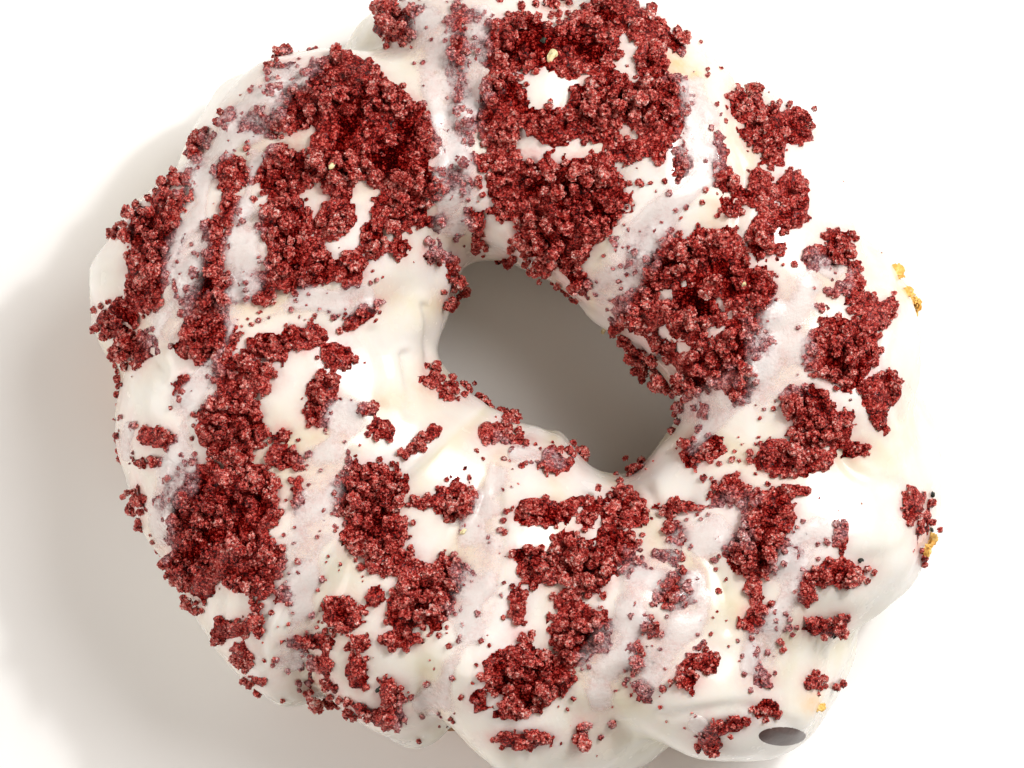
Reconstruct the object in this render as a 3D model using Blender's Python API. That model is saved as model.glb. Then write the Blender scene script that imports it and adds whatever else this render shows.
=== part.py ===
# A glazed churro doughnut: a twisted ring of fried dough under a thick white icing coat with cake crumbs on it.
# Lengths are in metres, +Z is up, and the ring stands on z = 0 with its box centred on the origin.

import math
import random

import bmesh
import bpy
from mathutils import Vector
from mathutils.bvhtree import BVHTree

MM = 0.001

# Driving dimensions of the ring, icing included. Angles are in degrees.
RING_HEIGHT = 33.0 * MM
FLAT_DEPTH = 2.2 * MM          # how much of the round section the flat underside takes off
SECTION_POWER = 2.25           # 2 is an ellipse, more is squarer
TWIST_PER_TURN = 60.0          # the ridges move on by this much round the ring for one turn of the section
ICING_ON_CREST = 1.5 * MM
ICING_IN_GROOVE = 2.2 * MM
ICING_GAP = 0.35 * MM
OUTER_LIP = -37.0              # section angle where the icing ends outside, 0 is the widest point
INNER_LIP = 215.0              # and inside the hole, where 180 is the narrowest point
LIP_WAVE = 6.0
LIP_BEAD = 0.4 * MM
BOX_SHIFT = (-0.11 * MM, 0.57 * MM)

# The twelve ridges at the outer edge: angle and radius in mm of each groove, then of the crest after it.
RIDGES = (
    (-148.0, 44.7, -128.0, 46.3),
    (-121.5, 42.2, -108.0, 43.6),
    (-99.0, 40.5, -83.0, 47.3),
    (-66.5, 45.2, -51.0, 52.6),
    (-36.0, 48.2, -21.0, 51.5),
    (-3.0, 46.3, 10.0, 46.9),
    (23.5, 42.9, 43.0, 44.8),
    (55.0, 42.2, 75.0, 46.6),
    (87.0, 44.5, 103.0, 46.5),
    (117.0, 42.0, 135.0, 47.4),
    (150.0, 46.0, 167.0, 49.7),
    (179.0, 45.3, 195.0, 46.2),
)
STEPS_PER_RIDGE = 5
TURN_BACK = int(TWIST_PER_TURN * STEPS_PER_RIDGE * len(RIDGES) / 360.0)

# The slanting hole: its centre, then angle and radius in mm round that centre.
HOLE_CENTRE = (5.0, 1.6)
HOLE_EDGE = (
    (-173.0, 12.3), (-139.0, 7.5), (-107.0, 7.1), (-86.0, 7.8), (-74.0, 12.0), (-60.0, 14.9),
    (-42.0, 14.6), (-22.0, 14.6), (-10.0, 12.4), (6.0, 9.2), (34.0, 7.0), (60.0, 6.8),
    (88.0, 8.0), (107.0, 10.8), (120.0, 14.2), (132.0, 16.6), (145.0, 14.5), (160.0, 13.8), (174.0, 14.6),
)

# Grooves where the icing stops short and some dough shows: angle round the ring, and how far the lip rises.
BARE_GROOVES = ((-98.0, 38.0), (178.0, 34.0), (-122.5, 32.0), (-68.0, 32.0))
BARE_SPREAD = 8.0

# How far the ridges stand out at each section angle, as a share of the edge's relief.
RELIEF_ROUND = (
    (-90.0, 0.0), (-60.0, 0.9), (-30.0, 1.0), (0.0, 1.0), (45.0, 0.86),
    (90.0, 0.62), (135.0, 0.5), (180.0, 0.35), (215.0, 0.2), (270.0, 0.0),
)
ICED_ROWS = 13
BARE_ROWS = 4
BARE_INSET = (0.9, 0.3, 0.4, 1.0)   # how deep the bare rows lie, as a share of the icing's thickness

# Drifts of crumbs, seen from above: centre x, y, half length, half width in mm, heading in degrees.
CRUMB_DRIFTS = (
    # far left and top left
    (-13.0, 41.0, 2.7, 2.6, 0), (-19.0, 31.5, 6.0, 4.6, -35), (-14.2, 27.0, 5.2, 5.4, 0), (-20.2, 25.0, 3.0, 4.2, 0),
    (-25.4, 30.2, 2.6, 2.6, 0), (-13.0, 19.6, 3.0, 2.5, 20), (-20.5, 18.2, 1.8, 1.9, 0), (-16.0, 15.8, 1.1, 1.7, 0),
    (-26.0, 23.5, 3.0, 3.0, 0), (-26.0, 18.0, 2.7, 2.7, 0), (-24.5, 13.0, 3.6, 2.9, 0), (-29.0, 10.5, 2.0, 1.9, 0),
    (-32.0, 23.5, 2.0, 1.5, 0), (-36.2, 25.0, 2.8, 1.0, 80), (-39.0, 21.2, 2.0, 1.8, 0), (-41.0, 16.8, 3.7, 2.9, -20),
    (-41.3, 12.8, 2.4, 2.6, 0), (-34.4, 13.4, 1.8, 1.9, 0), (-18.4, 12.7, 1.5, 1.6, 0),
    # top
    (0.4, 38.0, 4.6, 3.2, 0), (7.4, 37.6, 4.2, 3.3, 0), (11.0, 42.0, 2.5, 2.4, 0), (15.0, 39.6, 1.8, 1.7, 0),
    (15.3, 35.8, 1.8, 1.8, 0), (10.4, 31.0, 3.8, 3.6, 0), (16.3, 31.0, 3.3, 3.7, 0), (-1.6, 30.5, 2.5, 4.6, 0),
    (4.6, 28.8, 3.2, 2.0, 0), (1.4, 22.2, 4.3, 3.7, 0), (7.8, 20.6, 4.7, 4.7, 0), (4.4, 15.8, 4.6, 2.6, 0),
    (-8.6, 22.3, 4.3, 1.8, 0), (5.4, 11.9, 3.3, 1.3, -20), (12.5, 26.0, 1.6, 1.1, 0), (17.8, 25.4, 1.0, 1.6, 30),
    # upper right
    (26.3, 31.2, 2.0, 2.0, 0), (28.5, 28.4, 2.7, 2.6, 0), (32.0, 29.2, 2.3, 2.1, 0), (22.8, 25.4, 0.9, 2.0, 0),
    (26.6, 20.7, 2.6, 1.1, -12), (31.0, 21.4, 1.7, 1.7, 0), (31.0, 18.2, 1.5, 1.5, 0), (27.8, 16.0, 1.4, 1.9, 0),
    (35.6, 14.5, 2.8, 1.5, 20), (40.4, 7.8, 2.2, 1.6, 0), (16.4, 13.6, 3.4, 3.4, 0), (22.5, 13.2, 3.6, 3.7, 0),
    (26.6, 9.2, 3.0, 3.5, 0), (14.6, 7.2, 3.2, 2.9, 0), (14.9, 2.6, 3.0, 2.8, 0), (20.4, 7.0, 3.1, 3.2, 0),
    (26.0, 3.6, 2.9, 3.4, 0), (20.6, 0.6, 3.6, 2.7, 0),
    # right and lower right
    (37.0, 3.2, 4.0, 3.8, 0), (41.5, -1.4, 1.9, 2.2, 0), (34.2, -4.6, 3.7, 2.9, 0), (31.3, -9.0, 4.4, 1.9, 0),
    (21.0, -7.8, 2.0, 1.7, 0), (24.5, -12.5, 1.7, 1.5, 0), (28.6, -15.4, 3.0, 2.9, 0), (27.6, -19.4, 3.3, 2.9, 0),
    (36.5, -21.8, 3.0, 1.4, 0), (27.5, -27.0, 1.7, 1.6, 0), (34.6, -27.8, 2.5, 1.1, 0), (24.0, -39.1, 2.3, 0.9, 10),
    (45.6, -14.3, 2.0, 1.5, 0), (46.6, -18.2, 1.0, 2.7, 0),
    # left
    (-45.6, 6.8, 2.6, 1.9, 0), (-42.0, 9.0, 1.7, 1.8, 0), (-43.5, 3.4, 2.0, 1.9, 0), (-35.0, 10.2, 3.4, 3.2, 0),
    (-34.8, 4.8, 3.2, 3.0, 0), (-30.4, 0.6, 3.4, 2.0, 0), (-27.0, 3.7, 2.8, 1.5, 0), (-22.2, 3.9, 3.0, 1.7, 0),
    (-21.6, -1.4, 1.6, 2.9, 0), (-17.2, 7.6, 2.4, 1.0, 40), (-32.0, -5.4, 3.5, 4.2, 0), (-35.6, -13.6, 4.4, 4.5, 0),
    (-30.0, -13.4, 3.4, 4.0, 0), (-36.0, -20.0, 4.2, 3.6, 0), (-30.0, -20.5, 3.6, 3.3, 0), (-43.3, -14.5, 1.1, 2.5, 0),
    (-16.5, -13.0, 4.0, 3.6, 0), (-15.8, -17.9, 3.5, 2.8, 0), (-6.5, -13.7, 1.9, 1.9, 0), (-7.6, -0.9, 2.6, 1.2, 0),
    (-2.6, -1.5, 2.4, 1.2, 0),
    # bottom
    (3.0, -15.0, 3.0, 1.4, 0), (12.3, -14.7, 2.3, 2.1, 0), (6.2, -18.6, 2.2, 1.6, 0), (2.6, -20.8, 2.3, 2.0, 0),
    (8.0, -21.6, 3.0, 2.8, 0), (12.0, -19.0, 2.4, 2.0, 0), (0.3, -25.7, 1.0, 2.2, 0), (18.2, -23.7, 2.0, 2.0, 0),
    (15.0, -28.4, 1.7, 1.1, -35), (7.4, -28.6, 3.3, 3.0, 0), (1.4, -33.6, 4.8, 3.1, 0), (20.4, -32.8, 2.0, 1.3, -45),
    (0.7, -40.6, 3.0, 1.1, 0), (-10.0, -24.2, 3.5, 3.4, 0), (-12.8, -28.4, 2.2, 1.6, 0), (-19.5, -26.5, 1.8, 1.7, 0),
    (-14.2, -36.8, 1.6, 2.2, 0), (-21.9, -34.6, 1.6, 2.4, 0), (-23.0, -29.7, 2.3, 1.0, 0), (-18.3, -37.8, 2.5, 1.1, -20),
    (4.5, -9.0, 1.6, 1.4, 0), (-36.6, -24.8, 1.1, 1.9, 0),
)
CRUMB_SEED = 27
BIG_DRIFT = 3.5                # half length in mm from which a drift gets the finer lump
CRUMB_HEIGHT = 2.0 * MM        # of a middling drift above the icing
CRUMB_SUNK = 0.8 * MM
CRUMB_UNEVEN = 0.20

# Glaze drizzled over the crumbs: width in mm, then the points of its middle line in mm, seen from above.
DRIZZLE = (
    (4.2, ((-25, 35), (-30, 30), (-34, 25), (-35.5, 19.5), (-38, 13), (-39.8, 5))),
    (3.2, ((-29.5, 25), (-31, 17), (-30.5, 10), (-33, 3), (-37, -3), (-37.5, -10))),
    (3.0, ((-17, 9.3), (-23, 9), (-29, 6.8))),
    (4.0, ((-18, -4), (-21.5, -9), (-23, -15), (-23.5, -22), (-25.0, -27), (-25.8, -31.5))),
    (3.6, ((-9, 41), (-9, 34), (-7.8, 27), (-7, 21))),
    (4.2, ((20.2, 33.5), (21, 27.5), (19, 20.5), (14, 16.2))),
    (4.6, ((35, 12.2), (31.2, 9.5), (29.3, 3.8), (26, -2.6), (21, -6.8))),
    (3.0, ((36, -16), (32, -20), (30, -26), (27, -32))),
    (3.0, ((23.5, -17), (20.6, -22), (19, -28), (15.5, -33.5))),
    (3.4, ((-2.4, -11), (-4, -17), (-4.4, -24), (-7, -31.5), (-10.5, -37.5))),
)
DRIZZLE_HEIGHT = 0.9 * MM
DRIZZLE_SUNK = 0.6 * MM
DRIZZLE_STEP = 5.0 * MM
SKIN_MARGIN = 14.0


def along(table, x):
    """Value at x of a table of (x, value) rows, eased from row to row."""
    if x <= table[0][0]:
        return table[0][1]
    for low, high in zip(table, table[1:]):
        if x <= high[0]:
            t = (x - low[0]) / (high[0] - low[0])
            t = t * t * (3.0 - 2.0 * t)
            return low[1] + (high[1] - low[1]) * t
    return table[-1][1]


def hole_radius(angle):
    """Radius of the hole in metres at an angle in degrees round its centre."""
    angle = (angle + 180.0) % 360.0 - 180.0
    last = HOLE_EDGE[-1]
    first = HOLE_EDGE[0]
    table = ((last[0] - 360.0, last[1]),) + HOLE_EDGE + ((first[0] + 360.0, first[1]),)
    return along(table, angle) * MM


def edge_columns():
    """Angle, radius in metres and share of crest of each column of the ring at its outer edge."""
    columns = []
    for i, (groove, low, crest, high) in enumerate(RIDGES):
        following = RIDGES[(i + 1) % len(RIDGES)]
        next_groove = following[0] + (360.0 if i == len(RIDGES) - 1 else 0.0)
        half = STEPS_PER_RIDGE / 2.0
        for step in range(STEPS_PER_RIDGE):
            if step < half:
                t = step / half
                angle = groove + (crest - groove) * t
                side = low
            else:
                t = (STEPS_PER_RIDGE - step) / half
                angle = next_groove + (crest - next_groove) * t
                side = following[1]
            rise = math.sin(t * math.pi / 2.0)
            columns.append((angle, (side + (high - side) * rise) * MM, rise))
    return columns


EDGE = edge_columns()
COUNT = len(EDGE)
EVEN_START = sum(angle - i * 360.0 / COUNT for i, (angle, _, _) in enumerate(EDGE)) / COUNT


def smooth_radius(angle, spread=20.0):
    """Outer radius with the ridges averaged out."""
    total = 0.0
    weights = 0.0
    for other, radius, _ in EDGE:
        apart = (other - angle + 180.0) % 360.0 - 180.0
        weight = math.exp(-0.5 * (apart / spread) ** 2)
        total += radius * weight
        weights += weight
    return total / weights


RELIEF = [radius - smooth_radius(angle) for angle, radius, _ in EDGE]


def fade(section):
    """1 over the ring's top and sides, easing to 0 underneath."""
    return along(((-90.0, 0.0), (-35.0, 1.0), (170.0, 1.0), (270.0, 0.0)), section)


def ring_angle(column, section):
    """Angle round the ring in degrees of a column at a section angle, following the twist."""
    even = EVEN_START + column * 360.0 / COUNT
    return even + (EDGE[column][0] - even) * fade(section) - TWIST_PER_TURN * section / 360.0


def signed_power(value, power):
    return math.copysign(abs(value) ** power, value)


def ring_point(column, section, inset=0.0):
    """Point of the ring's skin. Section angle 0 is outermost, 90 the top, 180 the hole's side."""
    angle = ring_angle(column, section)
    way = Vector((math.cos(math.radians(angle)), math.sin(math.radians(angle)), 0.0))
    outer = way * smooth_radius(angle)
    inner = Vector((HOLE_CENTRE[0] * MM, HOLE_CENTRE[1] * MM, 0.0)) + way * hole_radius(angle)
    across = outer - inner
    half_width = across.length / 2.0
    across.normalize()
    half_height = (RING_HEIGHT + FLAT_DEPTH) / 2.0
    raised = RELIEF[column] * along(RELIEF_ROUND, section) - inset
    side = signed_power(math.cos(math.radians(section)), 2.0 / SECTION_POWER)
    up = signed_power(math.sin(math.radians(section)), 2.0 / SECTION_POWER)
    point = (outer + inner) / 2.0 + across * (half_width + raised) * side
    point.z = half_height - FLAT_DEPTH + (half_height + raised) * up
    point.z = max(point.z, 0.0)
    return point


def outer_lip(column):
    angle = EDGE[column][0]
    lip = OUTER_LIP + LIP_WAVE * math.sin(math.radians(angle * 7.0 + 40.0)) * (0.6 + 0.4 * math.sin(math.radians(angle * 3.0)))
    for bare, rise in BARE_GROOVES:
        apart = (angle - bare + 180.0) % 360.0 - 180.0
        lip += rise * math.exp(-0.5 * (apart / BARE_SPREAD) ** 2)
    return lip


def inner_lip(column):
    angle = EDGE[column][0]
    return INNER_LIP + LIP_WAVE * math.sin(math.radians(angle * 5.0 + 10.0))


def icing_thickness(column):
    return ICING_IN_GROOVE + (ICING_ON_CREST - ICING_IN_GROOVE) * EDGE[column][2]


def iced_section(column, row):
    """Section angle of a row of the iced part of the ring."""
    low = outer_lip(column)
    return low + (inner_lip(column) - low) * row / (ICED_ROWS - 1)


def mesh_object(name, points, faces):
    mesh = bpy.data.meshes.new(name)
    mesh.from_pydata([tuple(p) for p in points], [], faces)
    mesh.validate()
    obj = bpy.data.objects.new(name, mesh)
    bpy.context.collection.objects.link(obj)
    work = bmesh.new()
    work.from_mesh(mesh)
    bmesh.ops.triangulate(work, faces=work.faces, quad_method="SHORT_EDGE")
    bmesh.ops.recalc_face_normals(work, faces=work.faces)
    work.to_mesh(mesh)
    work.free()
    return obj


def split(a, b, c, d):
    """Two triangles of a four-sided face, cut from its first to its third corner."""
    return [(a, b, c), (a, c, d)]


def shade_smooth(obj, angle=0.9):
    for polygon in obj.data.polygons:
        polygon.use_smooth = True
    work = bmesh.new()
    work.from_mesh(obj.data)
    for edge in work.edges:
        edge.smooth = len(edge.link_faces) != 2 or edge.calc_face_angle(0.0) < angle
    work.to_mesh(obj.data)
    work.free()


def dough_ring():
    """The fried ring. Under the icing it follows the coat, below the lips it swells out to its flat foot."""
    rows = ICED_ROWS + BARE_ROWS
    points = []
    for column in range(COUNT):
        under = icing_thickness(column) + ICING_GAP
        high = inner_lip(column)
        met = 360.0 + outer_lip((column - TURN_BACK) % COUNT)
        for row in range(ICED_ROWS):
            points.append(ring_point(column, iced_section(column, row), under))
        for row in range(1, BARE_ROWS + 1):
            section = high + (met - high) * row / (BARE_ROWS + 1)
            owner = column
            if section > 270.0:
                # past the foot's middle the row belongs to the ridge that starts there
                section -= 360.0
                owner = (column - TURN_BACK) % COUNT
            points.append(ring_point(owner, section, under * BARE_INSET[row - 1]))
    faces = []
    for column in range(COUNT):
        after = (column + 1) % COUNT
        for row in range(rows):
            if row < rows - 1:
                faces += split(
                    column * rows + row, after * rows + row,
                    after * rows + row + 1, column * rows + row + 1,
                )
            else:
                # the last row closes on the first row of the ridge two places back
                faces += split(
                    column * rows + row, after * rows + row,
                    ((after - TURN_BACK) % COUNT) * rows, ((column - TURN_BACK) % COUNT) * rows,
                )
    ring = mesh_object("dough_ring", points, faces)
    shade_smooth(ring)
    return ring


def icing_rings():
    """Rows of points round the coat's section: outside, round the inner lip, back inside, round the outer lip."""
    rings = []
    for column in range(COUNT):
        thick = icing_thickness(column)
        ring = [ring_point(column, iced_section(column, row)) for row in range(ICED_ROWS)]
        back = [ring_point(column, iced_section(column, row), thick) for row in range(ICED_ROWS)]
        inner_bead = ring_point(column, inner_lip(column) + math.degrees(LIP_BEAD / (0.5 * RING_HEIGHT)), thick * 0.4)
        outer_bead = ring_point(column, outer_lip(column) - math.degrees(LIP_BEAD / (0.5 * RING_HEIGHT)), thick * 0.4)
        rings.append(ring + [inner_bead] + back[::-1] + [outer_bead])
    return rings


def icing_shell():
    rings = icing_rings()
    size = len(rings[0])
    points = [point for ring in rings for point in ring]
    faces = []
    for column in range(COUNT):
        after = (column + 1) % COUNT
        for row in range(size):
            following = (row + 1) % size
            corners = (
                column * size + row, after * size + row,
                after * size + following, column * size + following,
            )
            if row > ICED_ROWS:
                # the inside runs the other way, and splits as the dough under it does
                corners = corners[1:] + corners[:1]
            faces += split(*corners)
    return mesh_object("white_icing", points, faces)


def icing_skin():
    """The coat's outer skin as a search tree, for laying things on it. It runs on a little past both lips."""
    rows = ICED_ROWS + 2
    points = []
    for column in range(COUNT):
        points.append(ring_point(column, outer_lip(column) - SKIN_MARGIN))
        points += [ring_point(column, iced_section(column, row)) for row in range(ICED_ROWS)]
        points.append(ring_point(column, inner_lip(column) + SKIN_MARGIN))
    faces = []
    for column in range(COUNT):
        after = (column + 1) % COUNT
        for row in range(rows - 1):
            a = column * rows + row
            b = after * rows + row
            faces += split(a, b, b + 1, a + 1)
    return BVHTree.FromPolygons(points, faces)


def skin_under(skin, x, y):
    """Point and outward normal of the coat under a place seen from above, or the nearest at half height."""
    found, normal, _, _ = skin.ray_cast(Vector((x, y, 0.1)), Vector((0.0, 0.0, -1.0)))
    if found is None:
        found, normal, _, _ = skin.find_nearest(Vector((x, y, RING_HEIGHT * 0.45)))
    return found, outward(found, normal)


def outward(point, normal):
    """Turn a normal to face away from the middle of the ring's section."""
    angle = math.degrees(math.atan2(point.y, point.x))
    way = Vector((math.cos(math.radians(angle)), math.sin(math.radians(angle)), 0.0))
    middle = (way * smooth_radius(angle) + Vector((HOLE_CENTRE[0] * MM, HOLE_CENTRE[1] * MM, 0.0))
              + way * hole_radius(angle)) / 2.0
    middle.z = RING_HEIGHT / 2.0
    return normal if normal.dot(point - middle) > 0.0 else -normal


def laid_on(skin, base, east, north, dx, dy, height):
    """A point dx, dy away along the coat and so high above it."""
    found, normal, _, _ = skin.find_nearest(base + east * dx + north * dy)
    return found + outward(found, normal) * height


def tangents(normal):
    east = Vector((1.0, 0.0, 0.0)) - normal * normal.x
    if east.length < 0.3:
        east = Vector((0.0, 1.0, 0.0)) - normal * normal.y
    east.normalize()
    return east, normal.cross(east)


def lump_form(fine):
    """Unit ball of triangles, 80 of them if fine or else 20."""
    work = bmesh.new()
    bmesh.ops.create_icosphere(work, subdivisions=2 if fine else 1, radius=1.0)
    points = [vertex.co.copy() for vertex in work.verts]
    faces = [tuple(vertex.index for vertex in face.verts) for face in work.faces]
    work.free()
    return points, faces


def crumb_lump(name, skin, drift, draw):
    """One drift of crumbs as an uneven lump moulded to the coat below it."""
    x, y, length, width, heading = drift
    fine = max(length, width) >= BIG_DRIFT
    points, faces = lump_form(fine)
    base, normal = skin_under(skin, x * MM, y * MM)
    east, north = tangents(normal)
    turn = math.radians(heading)
    tall = CRUMB_HEIGHT * min(1.35, 0.35 + 0.25 * (length * width) ** 0.5)
    moved = []
    for point in points:
        uneven = 1.0 + draw.uniform(-CRUMB_UNEVEN, CRUMB_UNEVEN)
        dx = point.x * length * MM * uneven
        dy = point.y * width * MM * uneven
        height = point.z * tall * uneven
        if height < 0.0:
            height = height / tall * CRUMB_SUNK
        moved.append(laid_on(
            skin, base, east, north,
            dx * math.cos(turn) - dy * math.sin(turn), dx * math.sin(turn) + dy * math.cos(turn), height,
        ))
    return mesh_object(name, moved, faces)


def spaced(points, step):
    """Places about a step apart along a line through the points, with the way it runs."""
    places = []
    for start, end in zip(points, points[1:]):
        start = Vector((start[0] * MM, start[1] * MM))
        end = Vector((end[0] * MM, end[1] * MM))
        parts = max(1, round((end - start).length / step))
        for i in range(parts):
            places.append(start.lerp(end, i / parts))
    places.append(end)
    ways = []
    for i in range(len(places)):
        way = places[min(i + 1, len(places) - 1)] - places[max(i - 1, 0)]
        ways.append(way.normalized())
    return list(zip(places, ways))


def drizzle_ribbon(name, skin, band):
    """A flat-bottomed ribbon of glaze that follows the coat."""
    width, line = band
    profile = ((-0.5, -DRIZZLE_SUNK), (-0.34, 0.55 * DRIZZLE_HEIGHT), (0.0, DRIZZLE_HEIGHT),
               (0.34, 0.55 * DRIZZLE_HEIGHT), (0.5, -DRIZZLE_SUNK))
    places = spaced(line, DRIZZLE_STEP)
    points = []
    for i, (place, way) in enumerate(places):
        end = min(i, len(places) - 1 - i)
        share = 0.6 if end == 0 else 1.0
        base, normal = skin_under(skin, place.x, place.y)
        run = Vector((way.x, way.y, 0.0))
        run -= normal * run.dot(normal)
        run.normalize()
        side = normal.cross(run)
        for across, height in profile:
            if height > 0.0:
                height *= share
            points.append(laid_on(skin, base, side, run, across * width * MM * share, 0.0, height))
    size = len(profile)
    faces = [tuple(range(size)), tuple(range((len(places) - 1) * size, len(places) * size))[::-1]]
    for i in range(len(places) - 1):
        for j in range(size):
            k = (j + 1) % size
            faces.append((i * size + j, i * size + k, (i + 1) * size + k, (i + 1) * size + j))
    return mesh_object(name, points, faces)


def white_icing():
    """The coat with the crumbs and the glaze on it, all one piece."""
    icing = icing_shell()
    skin = icing_skin()
    draw = random.Random(CRUMB_SEED)
    toppings = bpy.data.collections.new("toppings")
    bpy.context.scene.collection.children.link(toppings)
    pieces = []
    for i, drift in enumerate(CRUMB_DRIFTS):
        pieces.append(crumb_lump("crumb_%03d" % i, skin, drift, draw))
    for i, band in enumerate(DRIZZLE):
        pieces.append(drizzle_ribbon("drizzle_%02d" % i, skin, band))
    for piece in pieces:
        bpy.context.collection.objects.unlink(piece)
        toppings.objects.link(piece)
    join = icing.modifiers.new("join_toppings", "BOOLEAN")
    join.operation = "UNION"
    join.operand_type = "COLLECTION"
    join.collection = toppings
    join.solver = "MANIFOLD"
    join.use_self = False
    bpy.context.view_layer.objects.active = icing
    icing.select_set(True)
    bpy.ops.object.modifier_apply(modifier=join.name)
    for piece in pieces:
        bpy.data.objects.remove(piece, do_unlink=True)
    bpy.data.collections.remove(toppings)
    clean_union(icing)
    shade_smooth(icing)
    return icing


def clean_union(obj):
    """Keep the one large body, without the scraps and the sealed hollows that the lumps close off."""
    work = bmesh.new()
    work.from_mesh(obj.data)
    left = set(work.verts)
    bodies = []
    while left:
        body = [left.pop()]
        for vertex in body:
            for edge in vertex.link_edges:
                other = edge.other_vert(vertex)
                if other in left:
                    left.discard(other)
                    body.append(other)
        bodies.append(body)
    bodies.sort(key=len)
    for body in bodies[:-1]:
        bmesh.ops.delete(work, geom=body, context="VERTS")
    bmesh.ops.triangulate(work, faces=work.faces)
    work.to_mesh(obj.data)
    work.free()


def plain_material(name, colour, roughness):
    material = bpy.data.materials.new(name)
    material.use_nodes = True
    shader = material.node_tree.nodes["Principled BSDF"]
    shader.inputs["Base Color"].default_value = (*colour, 1.0)
    shader.inputs["Roughness"].default_value = roughness
    shader.inputs["Metallic"].default_value = 0.0
    return material


def dress(obj, material):
    obj.data.materials.clear()
    obj.data.materials.append(material)


for old in list(bpy.data.objects):
    bpy.data.objects.remove(old, do_unlink=True)

ring = dough_ring()
icing = white_icing()
dress(ring, plain_material("fried_dough", (0.42, 0.21, 0.075), 0.6))
dress(icing, plain_material("sugar_icing", (0.86, 0.83, 0.72), 0.25))
for obj in (ring, icing):
    for vertex in obj.data.vertices:
        vertex.co.x += BOX_SHIFT[0]
        vertex.co.y += BOX_SHIFT[1]
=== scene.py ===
# %% [markdown]
# # A churro doughnut under white icing, red cake crumbs and milk glaze
#
# The real thing is a ring of dough piped through a star nozzle, twisted, fried, dipped upside down in
# thick white icing, strewn with crumbled red cake while the icing is wet, and striped with thin glaze.
# This file builds those layers in that order, each on top of the last, the way the baker did.

import math
from functools import partial

import bpy
import numpy as np
from mathutils import Euler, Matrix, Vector
from mathutils.bvhtree import BVHTree


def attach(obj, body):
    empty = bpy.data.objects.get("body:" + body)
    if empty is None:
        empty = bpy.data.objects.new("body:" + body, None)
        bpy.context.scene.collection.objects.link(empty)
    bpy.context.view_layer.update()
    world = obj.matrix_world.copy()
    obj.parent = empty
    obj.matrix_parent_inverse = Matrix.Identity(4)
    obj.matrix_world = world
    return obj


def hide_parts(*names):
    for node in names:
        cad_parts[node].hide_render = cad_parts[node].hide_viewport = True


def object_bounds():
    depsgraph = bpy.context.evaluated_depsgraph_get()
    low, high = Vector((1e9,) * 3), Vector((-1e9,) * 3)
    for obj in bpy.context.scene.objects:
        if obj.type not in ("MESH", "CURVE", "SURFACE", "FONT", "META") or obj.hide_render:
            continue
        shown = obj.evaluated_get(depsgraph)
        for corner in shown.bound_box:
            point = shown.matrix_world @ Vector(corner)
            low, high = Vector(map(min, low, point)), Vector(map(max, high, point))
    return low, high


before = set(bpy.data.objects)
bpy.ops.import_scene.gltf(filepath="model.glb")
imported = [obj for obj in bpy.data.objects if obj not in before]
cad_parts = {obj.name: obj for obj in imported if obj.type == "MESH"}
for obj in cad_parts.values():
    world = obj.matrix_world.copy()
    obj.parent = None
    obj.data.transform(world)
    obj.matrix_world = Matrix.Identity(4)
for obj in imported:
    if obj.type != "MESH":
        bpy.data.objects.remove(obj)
cad_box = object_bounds()
print("box of the solids in mm:", [[round(1000 * c, 1) for c in corner] for corner in cad_box])

# %% [markdown]
# ## The sizes of the ring
#
# The solids and this scene share one set of sizes. Each ridge of the twisted dough is a groove and a
# crest, given by its angle round the ring and its distance from the middle. The hole slants, so it has
# its own small table. All sizes are real millimetres.

# %% Sizes of the ring
MM = 0.001
RING_HEIGHT = 33.0
FLAT_DEPTH = 2.2
SECTION_POWER = 2.25
TWIST_PER_TURN = 60.0
ICING_ON_CREST = 1.5
ICING_IN_GROOVE = 2.2
OUTER_LIP = -37.0
INNER_LIP = 215.0
LIP_WAVE = 6.0
BOX_SHIFT = np.array((-0.11, 0.57, 0.0))

RIDGES = (
    (-148.0, 44.7, -128.0, 46.3),
    (-121.5, 42.2, -108.0, 43.6),
    (-99.0, 40.5, -83.0, 47.3),
    (-66.5, 45.2, -51.0, 52.6),
    (-36.0, 48.2, -21.0, 51.5),
    (-3.0, 46.3, 10.0, 46.9),
    (23.5, 42.9, 43.0, 44.8),
    (55.0, 42.2, 75.0, 46.6),
    (87.0, 44.5, 103.0, 46.5),
    (117.0, 42.0, 135.0, 47.4),
    (150.0, 46.0, 167.0, 49.7),
    (179.0, 45.3, 195.0, 46.2),
)
STEPS_PER_RIDGE = 5
HOLE_CENTRE = np.array((5.0, 1.6))
HOLE_EDGE = (
    (-173.0, 12.3), (-139.0, 7.5), (-107.0, 7.1), (-86.0, 7.8), (-74.0, 12.0), (-60.0, 14.9),
    (-42.0, 14.6), (-22.0, 14.6), (-10.0, 12.4), (6.0, 9.2), (34.0, 7.0), (60.0, 6.8),
    (88.0, 8.0), (107.0, 10.8), (120.0, 14.2), (132.0, 16.6), (145.0, 14.5), (160.0, 13.8), (174.0, 14.6),
)
BARE_GROOVES = ((-98.0, 38.0), (178.0, 34.0), (-122.5, 32.0), (-68.0, 32.0))
BARE_SPREAD = 8.0
RELIEF_ROUND = (
    (-90.0, 0.0), (-60.0, 0.9), (-30.0, 1.0), (0.0, 1.0), (45.0, 0.86),
    (90.0, 0.62), (135.0, 0.5), (180.0, 0.35), (215.0, 0.2), (270.0, 0.0),
)
COUNT = len(RIDGES) * STEPS_PER_RIDGE
PITCH = 360.0 / COUNT
print(len(RIDGES), "ridges,", COUNT, "columns round the ring")

# %% [markdown]
# ## The ring's skin as a formula
#
# Any point of the ring has an angle round the ring and a section angle: 0 is outermost, 90 the top and
# 180 the wall of the hole. The ridges run round the section like the thread of a screw, so a place on
# the ring belongs to a column that moves on with the section angle. The formula works on whole arrays
# of points at once, which is what lets one mesh of ninety thousand points be shaped in a moment.


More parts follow.
